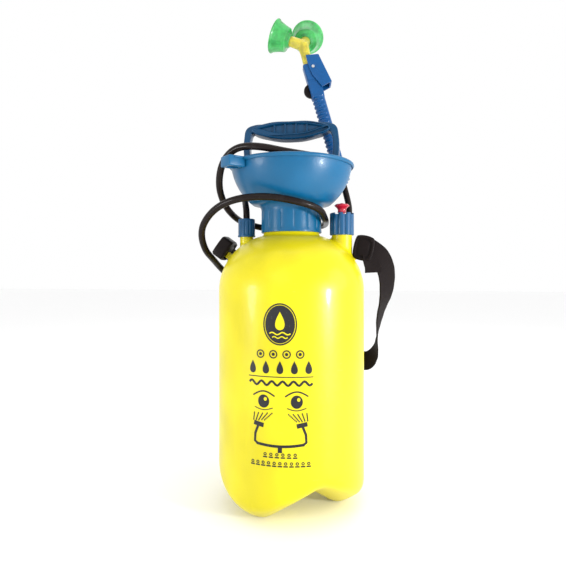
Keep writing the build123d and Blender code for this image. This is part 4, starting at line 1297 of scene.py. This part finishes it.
def ribbon(route, width, thickness, along=220, across=10, cup=0.5):
    """Webbing along a route whose last number turns it about its own line."""
    def shape(u, v):
        x, y, z, roll = curve_through(route, v)
        ahead = Vector(curve_through(route, min(1.0, v + 0.004))[:3])
        behind = Vector(curve_through(route, max(0.0, v - 0.004))[:3])
        along_line = (ahead - behind).normalized()
        out = Vector((x, y, 0)).normalized()
        side = along_line.cross(out).normalized()
        side = Matrix.Rotation(math.radians(roll), 3, along_line) @ side
        face = along_line.cross(side).normalized()
        bow = cup * (1 - (2 * u - 1) ** 2)
        edge = 0.12 * math.sin(v * 190.0) * (2 * u - 1) ** 4
        return (Vector((x, y, z)) + side * (u - 0.5) * width + face * (bow + edge)) * MM
    piece = formed(across, along, shape)
    piece.data.uv_layers[0].name = "weave"
    points = [Vector(curve_through(route, k / 100)[:3]) for k in range(101)]
    length = sum((b - a).length for a, b in zip(points, points[1:]))
    for corner in piece.data.uv_layers["weave"].data:
        corner.uv = (corner.uv[0], corner.uv[1] * length * MM)
    modify(piece, "SOLIDIFY", thickness=thickness * MM, offset=0.0)
    return piece, length


def buckle_plate(wide, tall, thick):
    """A moulded strap end: plate, and on both faces a raised rim and a panel, with a rivet in one corner."""
    def outline(inset, c):
        """A rectangle with cut corners."""
        w, h = wide / 2 - inset, tall / 2 - inset
        right = [(w - c, -h), (w, c - h), (w, h - c), (w - c, h)]
        return right[-1:] + mirrored(right) + right[:-1]
    base = pressed([outline(0, 1.8)], thick / 2, 0.8)
    rims = []
    for face in (-1, 1):
        rim = pressed([outline(0.9, 1.7), outline(2.9, 1.3)], 1.1, 0.4)
        place(rim, move(0, face * (thick / 2 + 0.35), 0))
        panel = pressed([outline(5.2, 1.2)], 0.9, 0.3)
        place(panel, move(0, face * (thick / 2 + 0.15), 0))
        rims += [rim, panel]
    rivet = turned([(0, -0.5), (1.5, -0.5), (1.5, 0.6), (1.0, 1.0), (0, 1.1)], 24, closed=False)
    place(rivet, move(wide / 2 - 3.6, -(thick / 2 + 0.6), tall / 2 - 3.4) @ turn_by(90, "X"))
    return join(base, rivet, *rims)


class EYEWASH_OT_strap(bpy.types.Operator):
    """Carrying strap of webbing with a moulded buckle at each end"""
    bl_idname = "eyewash.strap"
    bl_label = "Strap"

    def execute(self, context):
        tank, soft = context.scene.eyewash_tank, context.scene.eyewash_soft
        wide, thick = soft.webbing / MM, soft.thickness / MM
        strap, length = ribbon(STRAP_ROUTE, wide, thick)
        tail, _ = ribbon(TAIL_ROUTE, wide * 0.8, thick, 30, 8, 0.3)
        settle(strap, "carry_strap", "strap_black", "station", ["strap"])
        settle(tail, "strap_tail", "strap_black", "station")
        lug = lug_place(tank, 1).translation / MM
        right = buckle_plate(21, 27, 8.6)
        place(right, move(lug.x + 12.2, 0, lug.z + 11.0) @ turn_by(12, "Y"))
        settle(right, "strap_end_right", "buckle_black", "station", ["strap_buckle_right"])
        left = buckle_plate(24.5, 28, 12)
        place(left, lug_place(tank, -1) @ move(-4.25, 0, 13.75) @ turn_by(90, "X"))
        settle(left, "strap_end_left", "buckle_black", "station", ["strap_buckle_left"])
        return {"FINISHED"}


# ---------------------------------------------------------------- carried-over pieces

class EYEWASH_OT_inner(bpy.types.Operator):
    """Paints the pieces that keep the model's own shape"""
    bl_idname = "eyewash.inner"
    bl_label = "Inner pieces"

    def execute(self, context):
        slots = {row["node"]: row["material_slot"] for row in frame["record"]["subparts"]}
        for name, node in frame["nodes"].items():
            node.data.materials.clear()
            node.data.materials.append(finish_for(slots[name]))
        return {"FINISHED"}


# ---------------------------------------------------------------- stage

LAMPS = [       # name, place and width in metres, watts
    ("key", (-0.95, -0.75, 0.28), 0.35, 4.5),
    ("spark", (0.85, -0.43, 0.24), 0.13, 7.0),
    ("front", (-0.3, -1.6, 1.1), 0.9, 1.5),
    ("side", (1.5, -0.1, 0.7), 0.9, 4.0),
    ("top", (0.0, 0.1, 1.9), 1.0, 3.0),
    ("back", (0.3, 1.6, 1.0), 1.0, 2.0),
]
LAMP_AIM = Vector((0, 0, 0.3))
CAMERA_SHIFT = (-0.015, -0.023)


class EYEWASH_OT_stage(bpy.types.Operator):
    """Pale floor, soft studio light and the camera"""
    bl_idname = "eyewash.stage"
    bl_label = "Stage"

    def execute(self, context):
        stage = context.scene.eyewash_stage
        deselect()
        bpy.ops.mesh.primitive_plane_add(size=12.0, location=(0, 0, 0))
        floor = context.object
        floor.name = "studio_floor"
        floor.data.materials.append(studio_floor("studio_floor", stage.floor))
        world = bpy.data.worlds.new("studio")
        world.use_nodes = True
        sky = world.node_tree.nodes["Background"].inputs
        sky["Color"].default_value = (1.0, 1.0, 1.0, 1.0)
        sky["Strength"].default_value = 1.0
        context.scene.world = world
        for name, at, span, power in LAMPS:
            bpy.ops.object.light_add(type="AREA", location=at)
            lamp = context.object
            lamp.name = "light_" + name
            lamp.data.shape = "DISK"
            lamp.data.size = span
            lamp.data.energy = power
            aim = LAMP_AIM - Vector(at)
            lamp.rotation_euler = aim.to_track_quat("-Z", "Y").to_euler()
        a = stage.azimuth
        at = Vector((stage.distance * math.sin(a), -stage.distance * math.cos(a), stage.height))
        bpy.ops.object.camera_add(location=at, rotation=(math.radians(90), 0, a))
        camera = context.object
        camera.data.lens = stage.lens
        camera.data.sensor_width = 36.0
        camera.data.shift_x, camera.data.shift_y = CAMERA_SHIFT
        camera.data.clip_start = 0.01
        context.scene.camera = camera
        context.scene.view_settings.view_transform = "Standard"
        return {"FINISHED"}


# ---------------------------------------------------------------- panel and run

STEPS = [
    EYEWASH_OT_stage, EYEWASH_OT_hose, EYEWASH_OT_inner, EYEWASH_OT_tank, EYEWASH_OT_print,
    EYEWASH_OT_funnel, EYEWASH_OT_fittings, EYEWASH_OT_handle, EYEWASH_OT_wand, EYEWASH_OT_head,
    EYEWASH_OT_strap,
]


class EYEWASH_PT_panel(bpy.types.Panel):
    """Lists the settings and the pieces"""
    bl_idname = "EYEWASH_PT_panel"
    bl_label = "Eyewash"
    bl_space_type = "VIEW_3D"
    bl_region_type = "UI"
    bl_category = "Eyewash"

    def draw(self, context):
        for name, group in GROUPS.items():
            box = self.layout.box()
            for key in group.__annotations__:
                box.prop(getattr(context.scene, name), key)
        for step in STEPS:
            self.layout.operator(step.bl_idname)


def register():
    for group in GROUPS.values():
        bpy.utils.register_class(group)
    for step in STEPS:
        bpy.utils.register_class(step)
    bpy.utils.register_class(EYEWASH_PT_panel)
    for name, group in GROUPS.items():
        setattr(bpy.types.Scene, name, bpy.props.PointerProperty(type=group))


def unregister():
    for name in GROUPS:
        delattr(bpy.types.Scene, name)
    bpy.utils.unregister_class(EYEWASH_PT_panel)
    for step in reversed(STEPS):
        bpy.utils.unregister_class(step)
    for group in reversed(list(GROUPS.values())):
        bpy.utils.unregister_class(group)


def main():
    register()
    for step in STEPS:
        group, name = step.bl_idname.split(".")
        getattr(getattr(bpy.ops, group), name)()


if __name__ == "__main__":
    main()
